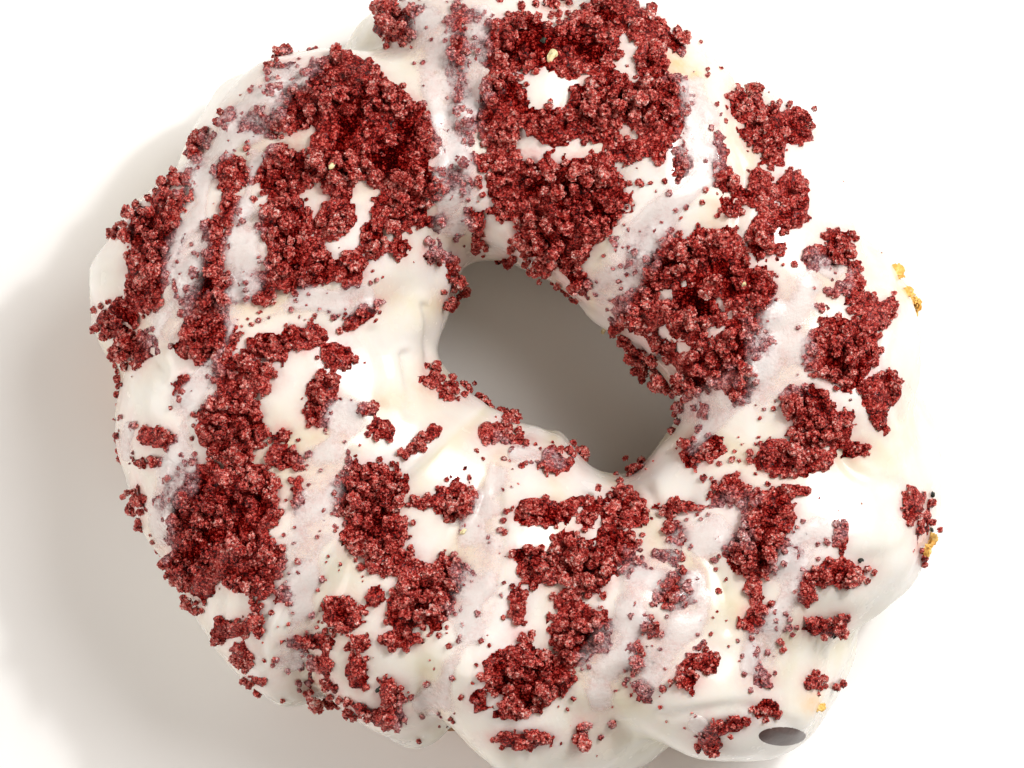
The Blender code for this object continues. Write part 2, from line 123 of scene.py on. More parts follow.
# %% Curves through the tables
def eased(table, x):
    """Value at x of a table of (x, value) rows, eased from row to row."""
    xs, ys = np.array(table).T
    i = np.clip(np.searchsorted(xs, x) - 1, 0, len(xs) - 2)
    t = np.clip((x - xs[i]) / (xs[i + 1] - xs[i]), 0.0, 1.0)
    return ys[i] + (ys[i + 1] - ys[i]) * t * t * (3.0 - 2.0 * t)


def round_the_ring(values, column):
    """Smooth curve through one value a column, closed round the ring."""
    i = np.floor(column).astype(int)
    t = column - i
    p = [values[(i + k) % COUNT] for k in (-1, 0, 1, 2)]
    return 0.5 * (
        2.0 * p[1] + (p[2] - p[0]) * t + (2.0 * p[0] - 5.0 * p[1] + 4.0 * p[2] - p[3]) * t ** 2
        + (3.0 * p[1] - p[0] - 3.0 * p[2] + p[3]) * t ** 3
    )


def edge_columns():
    """Angle, radius and share of crest of each column at the outer edge."""
    rows = []
    half = STEPS_PER_RIDGE / 2.0
    for i, (groove, low, crest, high) in enumerate(RIDGES):
        following = RIDGES[(i + 1) % len(RIDGES)]
        next_groove = following[0] + (360.0 if i == len(RIDGES) - 1 else 0.0)
        for step in range(STEPS_PER_RIDGE):
            first = step < half
            t = step / half if first else (STEPS_PER_RIDGE - step) / half
            side = low if first else following[1]
            start = groove if first else next_groove
            rise = math.sin(t * math.pi / 2.0)
            rows.append((start + (crest - start) * t, side + (high - side) * rise, rise))
    return np.array(rows).T


EDGE_ANGLE, EDGE_RADIUS, EDGE_RISE = edge_columns()
EVEN_START = np.mean(EDGE_ANGLE - np.arange(COUNT) * PITCH)
LEAN = EDGE_ANGLE - EVEN_START - np.arange(COUNT) * PITCH
print("columns lean up to", round(float(abs(LEAN).max()), 1), "degrees from even")


# %% The ring without its ridges
def turned_from(angle, other):
    """Degrees from one angle to another, from -180 to 180."""
    return (angle - other + 180.0) % 360.0 - 180.0


def smooth_radius(angle, spread=20.0):
    """Outer radius with the ridges averaged out."""
    apart = turned_from(EDGE_ANGLE, np.asarray(angle)[..., None])
    weight = np.exp(-0.5 * (apart / spread) ** 2)
    return (weight * EDGE_RADIUS).sum(-1) / weight.sum(-1)


def hole_curve(spread=4.0):
    """The hole's radius at each whole degree, rounded off between the rows of its table."""
    degrees = np.arange(-180.0, 180.0)
    xs, ys = np.array(HOLE_EDGE).T
    plain = np.interp(degrees, xs, ys, period=360.0)
    apart = np.arange(-20, 21)
    weight = np.exp(-0.5 * (apart / spread) ** 2)
    return sum(w * np.roll(plain, k) for k, w in zip(apart, weight)) / weight.sum()


def evened(values, times):
    """Each column's value mixed with its neighbours, that many times."""
    for _ in range(times):
        values = (np.roll(values, 1) + 2.0 * values + np.roll(values, -1)) / 4.0
    return values


HOLE_RADIUS = hole_curve()
RADIUS_ROUND = smooth_radius(np.arange(-180.0, 180.0))
RELIEF = EDGE_RADIUS - smooth_radius(EDGE_ANGLE)
SOFT_RELIEF = evened(RELIEF, 2)
HOLE_RELIEF = evened(SOFT_RELIEF, 5)


# %% The skin
def by_degree(values, angle):
    """Value at an angle of a list with one value for each whole degree from -180."""
    return np.interp((np.asarray(angle) + 180.0) % 360.0, np.arange(361.0), np.append(values, values[0]))


def fade(section):
    return eased(((-90.0, 0.0), (-35.0, 1.0), (170.0, 1.0), (270.0, 0.0)), section)


def ring_angle(column, section):
    return (EVEN_START + column * PITCH + round_the_ring(LEAN, column) * fade(section)
            - TWIST_PER_TURN * section / 360.0)


def ring_column(angle, section):
    """Column at a place on the ring, the other way round from ring_angle."""
    base = (angle + TWIST_PER_TURN * section / 360.0 - EVEN_START) / PITCH
    column = base
    for _ in range(8):
        column = base - round_the_ring(LEAN, column) * fade(section) / PITCH
    return column


def rounded(value):
    """A sine or cosine of the section angle, drawn out so that the section is fuller than a circle."""
    return np.sign(value) * np.abs(value) ** (2.0 / SECTION_POWER)


def ring_points(column, section, inset):
    """Points in millimetres of the ring's skin, or as far inside it as the inset says."""
    angle = ring_angle(column, section)
    way = np.stack((np.cos(np.radians(angle)), np.sin(np.radians(angle))), -1)
    outer = way * by_degree(RADIUS_ROUND, angle)[..., None]
    inner = HOLE_CENTRE + way * by_degree(HOLE_RADIUS, angle)[..., None]
    across = outer - inner
    width = np.linalg.norm(across, axis=-1)
    across /= width[..., None]
    half_height = (RING_HEIGHT + FLAT_DEPTH) / 2.0
    soft = eased(((-90.0, 0.0), (10.0, 0.0), (80.0, 1.0), (270.0, 1.0)), section)
    relief = round_the_ring(RELIEF, column) * (1.0 - soft) + round_the_ring(SOFT_RELIEF, column) * soft
    raised = relief * eased(RELIEF_ROUND, section) - inset
    side = rounded(np.cos(np.radians(section)))
    up = rounded(np.sin(np.radians(section)))
    flat = (outer + inner) / 2.0 + across * ((width / 2.0 + raised) * side)[..., None]
    tall = np.maximum(half_height - FLAT_DEPTH + (half_height + raised) * up, 0.0)
    return np.concatenate((flat, tall[..., None]), -1) + BOX_SHIFT


# %% The icing's lips and thickness
def edge_angle(column):
    """Angle of a column where it crosses the ring's outer edge."""
    return EVEN_START + column * PITCH + round_the_ring(LEAN, column)


def outer_lip(column):
    """Section angle of the icing's outer lip, which hangs in waves and leaves some grooves bare."""
    angle = edge_angle(column)
    wave = np.sin(np.radians(angle * 7.0 + 40.0)) * (0.6 + 0.4 * np.sin(np.radians(angle * 3.0)))
    lip = OUTER_LIP + LIP_WAVE * wave
    for bare, rise in BARE_GROOVES:
        lip = lip + rise * np.exp(-0.5 * (turned_from(angle, bare) / BARE_SPREAD) ** 2)
    return lip


def inner_lip(column):
    return INNER_LIP + LIP_WAVE * np.sin(np.radians(edge_angle(column) * 5.0 + 10.0))


def icing_thickness(column):
    rise = np.clip(round_the_ring(EDGE_RISE, column), 0.0, 1.0)
    return ICING_IN_GROOVE + (ICING_ON_CREST - ICING_IN_GROOVE) * rise


def wander(points, size, seed, waves=28):
    """A smooth uneven value near -1 to 1 at each point, with lumps about that many millimetres across."""
    draw = np.random.default_rng(seed)
    ways = draw.normal(size=(waves, 3))
    ways /= np.linalg.norm(ways, axis=1)[:, None]
    lengths = size * draw.uniform(0.7, 1.6, waves)
    phases = draw.uniform(0.0, 2.0 * math.pi, waves)
    total = np.zeros(points.shape[:-1])
    for way, length, phase in zip(ways, lengths, phases):
        total += np.sin(points @ way * (math.pi / length) + phase)
    return total * math.sqrt(2.0 / waves) * 0.7


def layered(points, layers):
    """Sum of such values. Each layer has the size of its lumps, its seed and its height."""
    return sum(wander(points, size, seed) * height for size, seed, height in layers)


crest_points = ring_points(np.arange(60.0), np.full(60, 90.0), 0.0)
print("top of the coat at", round(float(crest_points[:, 2].max()), 1), "mm")

# %% [markdown]
# ## Helpers for meshes
#
# A primitive is added by an operator with nothing else selected, and then its points are moved to the
# shape. Finished pieces keep their object at the origin, so that patterns which read Object coordinates
# lie at the real place and size.


# %% Mesh helpers
def start_clean():
    bpy.ops.object.select_all(action="DESELECT")


def rename(name):
    piece = bpy.context.object
    piece.name = name
    piece.data.name = name
    return piece


def place_points(piece, points_mm):
    piece.data.vertices.foreach_set("co", (np.asarray(points_mm, float) * MM).ravel())
    piece.data.update()


def points_of(piece):
    co = np.empty(len(piece.data.vertices) * 3)
    piece.data.vertices.foreach_get("co", co)
    return co.reshape(-1, 3) / MM


def take_up(piece):
    """Selects that piece alone, ready for an operator."""
    start_clean()
    piece.select_set(True)
    bpy.context.view_layer.objects.active = piece


def tidy_faces(piece):
    """Faces outwards and shaded smooth."""
    take_up(piece)
    bpy.ops.object.mode_set(mode="EDIT")
    bpy.ops.mesh.select_all(action="SELECT")
    bpy.ops.mesh.normals_make_consistent(inside=False)
    bpy.ops.object.mode_set(mode="OBJECT")
    bpy.ops.object.shade_smooth()


def add_number(piece, name, values):
    """Stores one number a point, for the piece's material to read."""
    attribute = piece.data.attributes.new(name, "FLOAT", "POINT")
    attribute.data.foreach_set("value", np.asarray(values, float))


def apply_all(piece):
    take_up(piece)
    for modifier in list(piece.modifiers):
        bpy.ops.object.modifier_apply(modifier=modifier.name)


def triangles(piece):
    return sum(len(p.vertices) - 2 for p in piece.data.polygons)


# %% [markdown]
# ## Where the crumbs lie
#
# The crumbs fell in drifts. Each drift is read off the photograph as an ellipse seen from above: its
# middle, half length, half width and heading. Small round gaps, where icing shows through a mass, are
# kept free in the same way, and pits, with a middle and a radius, are the hollows in a mass, kept free
# of clumps and darkened with painted shade. The crumbs themselves are drawn at random inside these,
# from a seed.

# %% The drifts
DRIFTS = (
    # far left and top left
    (-13, 41, 2.7, 2.6, 0), (-26.3, 36.6, 1.5, 1.4, 0), (-25.8, 33, 2.6, 1, 0), (-19, 31.5, 6, 4.6, -35),
    (-14.2, 27, 5.2, 5.4, 0), (-20.2, 25, 3, 4.2, 0), (-25.4, 30.2, 2.6, 2.4, 0), (-13, 19.6, 3, 2.5, 20),
    (-20.5, 18.2, 1.8, 1.9, 0), (-16, 15.8, 1.1, 1.7, 0), (-26, 23.5, 3, 3, 0), (-26, 18, 2.7, 2.7, 0),
    (-24.5, 13, 3.6, 2.9, 0), (-29, 10.5, 2, 1.9, 0), (-32, 23.5, 2, 1.5, 0), (-36.2, 25, 2.8, 0.9, 80),
    (-32, 29.3, 1.3, 1.3, 0), (-29, 29, 1.4, 1.4, 0), (-32, 19, 1.3, 1.3, 0), (-38.7, 22.7, 1.9, 0.7, 0),
    (-39.2, 20.2, 1.8, 1.1, 0), (-46.3, 17.3, 1, 1, 0), (-41, 16.8, 3.7, 2.6, -20),
    (-41.3, 12.8, 2.4, 2.6, 0), (-34, 16.5, 1.2, 1.2, 0), (-34.5, 13, 1.7, 1.7, 0),
    (-18.4, 12.7, 1.5, 1.6, 0), (-13, 15, 0.7, 0.7, 0), (-9.5, 14.5, 0.8, 0.8, 0),
    (-35.5, 27.5, 1.0, 0.9, 0),
    # top
    (-6.6, 37, 1.3, 4.6, 0), (-5.6, 30, 1.2, 3.2, 0), (-6.6, 24, 1.5, 2.2, 0), (-5, 41.2, 1.3, 0.7, 20),
    (0.4, 38, 4.6, 3.2, 0), (7.4, 37.6, 4.2, 3.3, 0), (4.5, 43, 1.7, 1.5, 0), (11, 42, 2.5, 2.4, 0),
    (15, 40, 1.7, 1.6, 0), (18, 38.3, 1.4, 0.8, -30), (15.5, 36, 1.8, 1.8, 0), (10.4, 31, 3.8, 3.6, 0),
    (16.3, 31, 3.3, 3.7, 0), (-1.6, 30.5, 2.5, 4.6, 0), (4.6, 28.8, 3.2, 1.8, 0),
    (1.4, 22.2, 4.3, 3.7, 0), (7.8, 20.6, 4.7, 4.7, 0), (4.4, 15.8, 4.6, 2.6, 0),
    (-8.6, 22.3, 4.3, 1.7, 0), (5.4, 11.9, 3.3, 1.3, -20), (6.8, 9.9, 1.4, 1.1, 0),
    (12.5, 26, 1.6, 1.1, 0), (16.5, 26, 0.8, 1.5, 0), (19, 24.6, 0.9, 1.2, 0), (-8.5, 18.3, 0.8, 0.8, 0),
    (-4.7, 18.2, 0.9, 0.8, 0), (-3.9, 15.8, 0.5, 1.3, 0), (-1.2, 18.8, 1.5, 0.6, -20),
    (-3.5, 24.3, 0.9, 0.8, 0), (-0.2, 13.9, 1.4, 0.7, 0),
    # upper right
    (26.3, 31.4, 2, 2, 0), (28.5, 28.4, 2.7, 2.6, 0), (32, 29.2, 2.3, 2, 0), (29, 25, 0.8, 0.7, 0),
    (22.8, 25.2, 0.8, 1.9, 0), (23.9, 22.6, 1.6, 0.9, -50), (27.3, 20.5, 2, 0.9, -10),
    (24.3, 19.3, 1, 0.9, 0), (27.8, 22.8, 1, 0.9, 0), (31, 21.5, 1.7, 1.7, 0), (31, 18.5, 1.5, 1.5, 0),
    (27.8, 16, 1.4, 1.9, 0), (29.8, 14.5, 0.7, 0.6, 0), (36.8, 15.8, 1.4, 1.2, 0),
    (35.1, 13.9, 2.6, 1.2, 0), (38.8, 12.5, 0.6, 0.6, 0), (37.5, 10.5, 1.7, 0.6, 20),
    (39.5, 8.3, 1.7, 1.4, 0), (42.6, 8.4, 1, 0.9, 0), (40.8, 7, 1.2, 0.9, 0), (16.4, 13.6, 3.4, 3.4, 0),
    (22.5, 13.2, 3.6, 3.7, 0), (26.6, 9.2, 3, 3.5, 0), (14.4, 8, 3, 2.4, 0), (13.7, 5.8, 2.5, 2.6, 0),
    (14.9, 2.6, 3, 2.8, 0), (20.4, 7, 3.1, 3.2, 0), (26, 3.6, 2.9, 3.4, 0), (21.4, 1.2, 3.2, 2.5, 0),
    (18, 0.1, 2.4, 1.6, 0), (20, -3, 1.5, 1.3, 0), (25.4, -0.6, 1.8, 1.6, 0),
    # right and lower right
    (37, 3.2, 4, 3.8, 0), (41.5, -1, 1.9, 1.9, 0), (41.2, -3.7, 0.8, 1.4, 0), (33, -3, 2.5, 2.3, 0),
    (34.6, -5.4, 3.4, 2.2, 0), (31.3, -9, 4.4, 1.9, 0), (38.7, -7.7, 1, 0.9, 0), (21, -7.8, 2, 1.7, 0),
    (30.7, -12.5, 1.7, 0.5, 0), (24.5, -12.5, 1.7, 1.4, 0), (28.6, -15.4, 3, 2.9, 0),
    (27.6, -19.2, 3.3, 3, 0), (31, -20, 1.3, 1.3, 0), (26.8, -23.2, 0.7, 1.2, 0),
    (36.9, -17.2, 0.5, 1, 0), (36.5, -21.8, 3, 1.3, 0), (32.6, -23.6, 0.9, 1.4, 0),
    (27.5, -27, 1.7, 1.6, 0), (34, -27.8, 1.6, 0.9, 0), (36.7, -27.7, 1.1, 1, 0),
    (34, -34.2, 0.8, 0.7, 0), (37.2, -34.6, 1.3, 0.4, -10), (27, -31, 0.4, 1.3, 0),
    (28, -33.8, 0.9, 0.8, 0), (28.2, -37.2, 0.9, 0.8, 0), (24, -39.1, 2.1, 0.7, 10),
    (22, -41, 0.9, 0.7, 0), (44.8, -14.5, 0.9, 1.5, 0), (46.4, -17.4, 0.9, 3, 0), (47, -14, 1, 0.9, 0),
    # left
    (-46.4, 6.7, 1.4, 1.5, 0), (-44.5, 7, 2, 1.9, 0), (-42, 9.5, 1.7, 1.7, 0), (-43.5, 3.5, 2, 1.9, 0),
    (-35, 10.3, 3.3, 3.1, 0), (-34.8, 4.8, 3.2, 3, 0), (-37.5, -1.2, 0.6, 1.4, 0),
    (-30.6, 0.6, 3.4, 2, 0), (-28, 3.6, 2.2, 1.3, 0), (-24, 4.6, 2.2, 1.3, 0), (-20.3, 2.8, 1.8, 1.3, 0),
    (-21.5, -1.2, 1.4, 1.9, 0), (-22.5, -4, 1.2, 1.2, 0), (-17.3, 7.4, 2.4, 0.8, 40),
    (-32, -5.5, 3.4, 4.2, 0), (-35.6, -13.8, 4.4, 4.5, 0), (-30, -13.6, 3.4, 4, 0),
    (-36, -20, 4.2, 3.6, 0), (-30, -20.5, 3.6, 3.3, 0), (-26.3, -5.9, 0.6, 0.6, 0),
    (-45.8, -0.8, 0.8, 1.7, 0), (-41.8, -6.5, 0.8, 0.7, 0), (-39.6, -6.5, 1, 0.7, 0),
    (-46, -8.2, 0.9, 0.8, 0), (-40, -9.4, 2, 0.5, 0), (-43.3, -14.5, 1, 2.4, 0),
    (-17.5, -3.2, 1.5, 0.6, 0), (-15.2, -5.5, 0.7, 0.6, 0), (-11, -7.2, 1.8, 0.6, 40),
    (-27, -8.7, 0.9, 0.9, 0), (-25, -9, 1, 0.9, 0), (-29, -11, 1.2, 1.2, 0), (-24.6, -13, 0.5, 1.7, 0),
    (-16.5, -13, 4, 3.6, 0), (-15.8, -17.6, 3.5, 2.7, 0), (-14, -20.5, 3, 1.5, 0),
    (-10.3, -13.8, 1.5, 0.6, 0), (-6.5, -13.7, 1.9, 1.8, 0), (-9.4, 0.2, 0.9, 1.1, 0),
    (-6.6, -1, 2, 1.1, 0), (-3, -1.2, 1.8, 1.1, 0), (-0.5, -2.1, 1.2, 0.9, 0), (-0.8, -4.7, 0.9, 0.8, 0),
    (-3, -6.3, 0.9, 0.8, 0), (0.5, -6.8, 1.5, 0.5, 0), (-6.7, 11.7, 0.7, 2.2, 5), (-7.5, 9, 0.7, 0.9, 0),
    # bottom
    (3, -15, 3, 1.3, 0), (8.3, -14, 1.8, 0.5, 0), (8, -16, 0.8, 0.8, 0), (12.3, -14.7, 2.3, 2.1, 0),
    (6.4, -18.9, 2, 1.6, 0), (1.7, -19.6, 2, 0.8, 0), (3, -21.5, 2, 1.7, 0), (8, -21.6, 3, 2.7, 0),
    (11.6, -18.6, 2, 1.8, 0), (14, -21.3, 1.2, 1.1, 0), (17, -20, 1.3, 0.5, 0), (0.3, -25.6, 0.8, 2.1, 0),
    (6, -24.6, 1.4, 1.3, 0), (18.2, -23.7, 2, 1.9, 0), (15.2, -28, 1.5, 0.9, -30),
    (13.5, -31, 0.8, 1.8, 0), (14.5, -34.8, 0.8, 0.7, 0), (7.5, -28.7, 3.2, 2.9, 0),
    (0.8, -29.2, 0.8, 0.6, 0), (1.4, -33.4, 4.8, 2.9, 0), (0.5, -36.5, 2, 1.4, 0),
    (21.3, -31.8, 1.4, 1.1, 0), (19.3, -33.8, 1.3, 1, 0), (0.7, -40.6, 3, 0.9, 0),
    (7.4, -40.2, 0.5, 1.3, 0), (-4.2, -36.2, 0.7, 0.6, 0), (18.5, -14.5, 1.8, 0.6, 0),
    (18.3, -17.3, 1.2, 1, 0), (-10, -24.3, 3.5, 3.2, 0), (-8, -22, 2.5, 1.8, 0),
    (-12.5, -26.5, 2, 1.7, 0), (-13, -29.3, 2, 0.9, 0), (-19.5, -26.5, 1.8, 1.7, 0),
    (-17.7, -29.8, 0.8, 0.7, 0), (-17.8, -33.2, 0.9, 1.7, 0), (-15.7, -24.8, 0.7, 0.7, 0),
    (-14.2, -35.5, 1.3, 1.2, 0), (-14.3, -38, 1.5, 1.1, 0), (-23, -29.7, 2.3, 0.8, 0),
    (-21.8, -32.6, 0.8, 1.3, 0), (-21.8, -35.5, 1.8, 1.6, 0), (-18.3, -37.4, 2.5, 0.9, -20),
    (-36.5, -24.5, 0.9, 1.9, 0), (-28.6, -23.3, 1.1, 0.9, 0), (-29.3, -26.7, 0.5, 1.8, 0),
    (-26.2, -24.3, 0.9, 0.8, 0), (-27.5, -20.8, 1, 1, 0), (-31, -28, 0.9, 0.8, 0),
    (-33.2, -28.6, 0.7, 1, 0), (-31, -31.3, 1, 0.9, 0), (-30.3, -34.8, 1, 0.8, 0), (4.5, -9, 1.5, 1.3, 0),
    (7.9, -7.8, 0.6, 1.4, 0), (13.6, -10.2, 1.9, 0.7, 35),
)
GAPS = (
    (-24.5, 27, 1.3, 0.9), (-22.6, 20.4, 0.8, 2), (18.8, 3.4, 0.8, 1.2), (22.6, 5.7, 0.8, 0.7),
    (24.5, 7.4, 0.7, 0.6), (18.2, 16.8, 0.8, 0.6), (37, -2.9, 0.9, 0.6), (37, -7, 0.8, 0.6),
    (4.1, 32.4, 2.6, 0.8), (1.8, 26.2, 1.9, 1.2), (-7.5, 26.5, 0.8, 1.7), (3, -25, 0.8, 2),
    (-26.5, -3, 2.4, 3.4), (12.6, 28.4, 0.6, 0.8),
)
PITS = (
    (-17, 21, 1.0), (-14, 25, 1.1), (3, 38, 0.9), (20, 10, 1.2), (27, 3.5, 1.0), (-35, 11, 0.8),
    (-8.5, -28.4, 0.8), (-18.5, 28.6, 0.8), (-34, -17.5, 0.9), (24.4, 10.2, 0.7), (8.6, 36.4, 0.8),
    (-30.6, -16.6, 0.8),
)
CRUMB_SEED = 27
print(len(DRIFTS), "drifts,", len(GAPS), "gaps,", len(PITS), "pits")


def inside(x, y, ellipse):
    """How far out in an ellipse a place is: under 1 is inside."""
    cx, cy, length, width = ellipse[:4]
    turn = math.radians(ellipse[4]) if len(ellipse) > 4 else 0.0
    dx = x - cx
    dy = y - cy
    along = dx * math.cos(turn) + dy * math.sin(turn)
    aside = dy * math.cos(turn) - dx * math.sin(turn)
    return np.hypot(along / length, aside / width)


# %% [markdown]
# ## Where the glaze ran
#
# The glaze was drizzled across in stripes, first one way and then the other. Each stripe is the line
# its middle follows, seen from above, and its width.

# %% The stripes
STRIPES = (
    (4.4, ((-24, 36), (-28, 31.5), (-33, 27), (-35.5, 23), (-35.5, 19.5), (-37, 16), (-38.7, 10),
           (-39.9, 4))),
    (3.6, ((-29, 26.5), (-30.5, 20), (-31, 15), (-30.5, 11), (-32, 7), (-33, 3.5), (-36, 0.5),
           (-37.5, -4), (-37.5, -11))),
    (2.8, ((-38.6, -8), (-39.8, -12), (-40.4, -16), (-39.8, -19.5))),
    (2.0, ((-44.3, -4.5), (-44.3, -9.5))),
    (3.0, ((-15.5, 9.5), (-20, 9), (-24, 9), (-29, 6.5))),
    (4.8, ((-18.5, -1.5), (-19.5, -5), (-21.5, -9), (-23, -14), (-23, -19), (-24, -24), (-25.5, -29),
           (-26.4, -33.5))),
    (4.6, ((-8.9, 43), (-9.4, 38), (-9, 34), (-8, 28.5), (-7, 22), (-8.5, 16))),
    (3.0, ((-4, 43), (-4.2, 38.8), (-5, 33), (-6, 26))),
    (4.6, ((20, 34.8), (21, 28.5), (20, 21.7), (14.3, 17), (11.4, 11.4), (10.3, 8))),
    (6.4, ((34.6, 12.4), (31.6, 9.6), (29.9, 4.6), (29.0, 0.0), (25.6, -2.6), (22.4, -5.0), (20, -8))),
    (3.8, ((36, -16), (33, -18.5), (31, -22), (30, -26), (27.5, -31), (26.5, -34))),
    (5.0, ((24.5, -16), (21.5, -18.5), (20, -26), (17, -31), (14.5, -35))),
    (5.4, ((17, -20), (15.5, -22), (13, -25), (11.5, -29), (10, -34), (9, -38))),
    (4.8, ((-1.7, -9), (-4, -16), (-4, -24), (-6, -30), (-8.5, -35), (-11, -38.5))),
    (2.0, ((-1, -8), (5, -9.5))),
    (2.2, ((21.5, -38), (20, -40))),
    (2.0, ((34, 13.6), (37.6, 12.2))),
)


def stripe_line(points, step):
    """Places a step apart on a smooth curve through the points, with the way along it."""
    points = np.array(points, float)
    padded = np.vstack((2 * points[0] - points[1], points, 2 * points[-1] - points[-2]))
    places = []
    for p0, p1, p2, p3 in zip(padded, padded[1:], padded[2:], padded[3:]):
        parts = max(2, int(np.linalg.norm(p2 - p1) / step))
        t = np.arange(parts)[:, None] / parts
        places.append(0.5 * (
            2 * p1 + (p2 - p0) * t + (2 * p0 - 5 * p1 + 4 * p2 - p3) * t ** 2
            + (3 * p1 - p0 - 3 * p2 + p3) * t ** 3
        ))
    places = np.vstack(places + [points[-1:]])
    ways = np.gradient(places, axis=0)
    ways /= np.linalg.norm(ways, axis=1)[:, None]
    return places, ways


# %% Map of the glaze
MAP_STEP = 0.25
MAP_HALF = 50.0
STRIPE_EDGE = ((4.2, 34, 0.50), (1.4, 35, 0.20))


def glaze_map():
    """Distance of each place on a grid from the nearest stripe's middle, where 1 is its uneven edge."""
    ticks = np.arange(-MAP_HALF, MAP_HALF, MAP_STEP)
    x, y = np.meshgrid(ticks, ticks, indexing="ij")
    places = np.stack((x, y, np.zeros_like(x)), -1)
    uneven = np.clip(0.94 + layered(places, STRIPE_EDGE), 0.2, 1.25)
    nearest = np.full(x.shape, 9.0)
    for width, line in STRIPES:
        for px, py in stripe_line(line, 0.6)[0]:
            nearest = np.minimum(nearest, np.hypot(x - px, y - py) / (0.5 * width * uneven))
    return nearest


GLAZE_MAP = glaze_map()


def glaze_away(x, y):
    """Distance from the nearest stripe's middle as a share of its half width."""
    i = np.clip(((np.asarray(x) + MAP_HALF) / MAP_STEP).astype(int), 0, len(GLAZE_MAP) - 1)
    j = np.clip(((np.asarray(y) + MAP_HALF) / MAP_STEP).astype(int), 0, len(GLAZE_MAP) - 1)
    return GLAZE_MAP[i, j]


print("glaze covers", int((GLAZE_MAP < 1.0).sum() * MAP_STEP ** 2), "square millimetres")


# %% [markdown]
# ## The fried dough
#
# Under the icing is a ring of fried dough. Only its foot shows, a dry brown crust below the lips of the
# icing. A torus from Blender's own list has the right network of faces, so it is the start, and its
# points are moved to the ring's formula. Below the lips the dough swells out past the icing's inside.

# %% The dough
CRUST_GRAIN = ((1.1, 3, 0.16), (3.5, 4, 0.32))
ROUND_STEPS = 360
SECTION_STEPS = 96
TORUS_RADIUS = 29.0


def fine_torus(name, round_steps, section_steps):
    """A torus with that many steps, and the step of each point round the ring and round the section."""
    start_clean()
    bpy.ops.mesh.primitive_torus_add(
        major_segments=round_steps // 2, minor_segments=section_steps // 2,
        major_radius=TORUS_RADIUS * MM, minor_radius=0.017,
    )
    torus = rename(name)
    bpy.ops.object.mode_set(mode="EDIT")
    bpy.ops.mesh.select_all(action="SELECT")
    bpy.ops.mesh.subdivide(number_cuts=1)
    bpy.ops.object.mode_set(mode="OBJECT")
    x, y, z = points_of(torus).T
    angle = np.degrees(np.arctan2(y, x))
    section = np.degrees(np.arctan2(z, np.hypot(x, y) - TORUS_RADIUS))
    round_step = np.rint(angle * round_steps / 360.0).astype(int) % round_steps
    section_step = np.rint(section * section_steps / 360.0).astype(int) % section_steps
    return torus, round_step, section_step


def dough_ring():
    ring, round_step, section_step = fine_torus("fried_dough", ROUND_STEPS, SECTION_STEPS)
    angle = round_step * 360.0 / ROUND_STEPS
    section = -90.0 + section_step * 360.0 / SECTION_STEPS
    column = ring_column(angle, section)
    under = icing_thickness(column) + 0.3
    below_out = outer_lip(column) - section
    below_in = section - inner_lip(column)
    bare = np.clip((np.maximum(below_out, below_in) - 3.0) / 20.0, 0.0, 1.0)
    inset = under * (1.0 - 0.65 * bare * bare * (3.0 - 2.0 * bare))
    points = ring_points(column, section, inset)
    grain = layered(points, CRUST_GRAIN)
    crusted = ring_points(column, section, inset - grain * bare + 0.15 * (1.0 - bare))
    crusted[:, 2] = np.where(points[:, 2] <= 0.0, 0.0, crusted[:, 2])
    place_points(ring, crusted)
    tidy_faces(ring)
    print("fried dough:", triangles(ring), "triangles")
    return ring


fried_dough = dough_ring()
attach(fried_dough, "root")
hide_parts("dough_ring")

# %% [markdown]
# ## The icing coat
#
# The icing is a shell about two millimetres thick that hangs over the ring and ends in a rounded,
# uneven lip. Its section is a letter C, so a torus can be bent into it too: most rows go to the
# outside, some round each lip and the rest back along the inside. Slow waves and a few round bulges
# keep it from looking turned on a lathe.

# %% The icing
COAT_ROUND = 440
OUT_ROWS = 164
LIP_ROWS = 9
IN_ROWS = 16
BULGES = (
    (17, 21.5, 4.2, 0.9), (13, -25, 3, 0.8), (-5.5, -32.5, 3.4, 0.8), (22.5, -34.5, 4, 0.7),
    (36, -23, 4, 0.5), (-27, -3, 3.4, 0.5), (-30, 33, 4, 0.5), (22.6, -25, 2.8, 0.6), (-12, 5, 5, 0.4),
    (40, -16, 4.5, 0.5), (30, -37, 4, 0.5), (-38, 28, 4, 0.5), (8, -35, 2.6, 0.6), (-20, -8, 3, 0.5),
    (-45, 12, 4, 0.4),
)

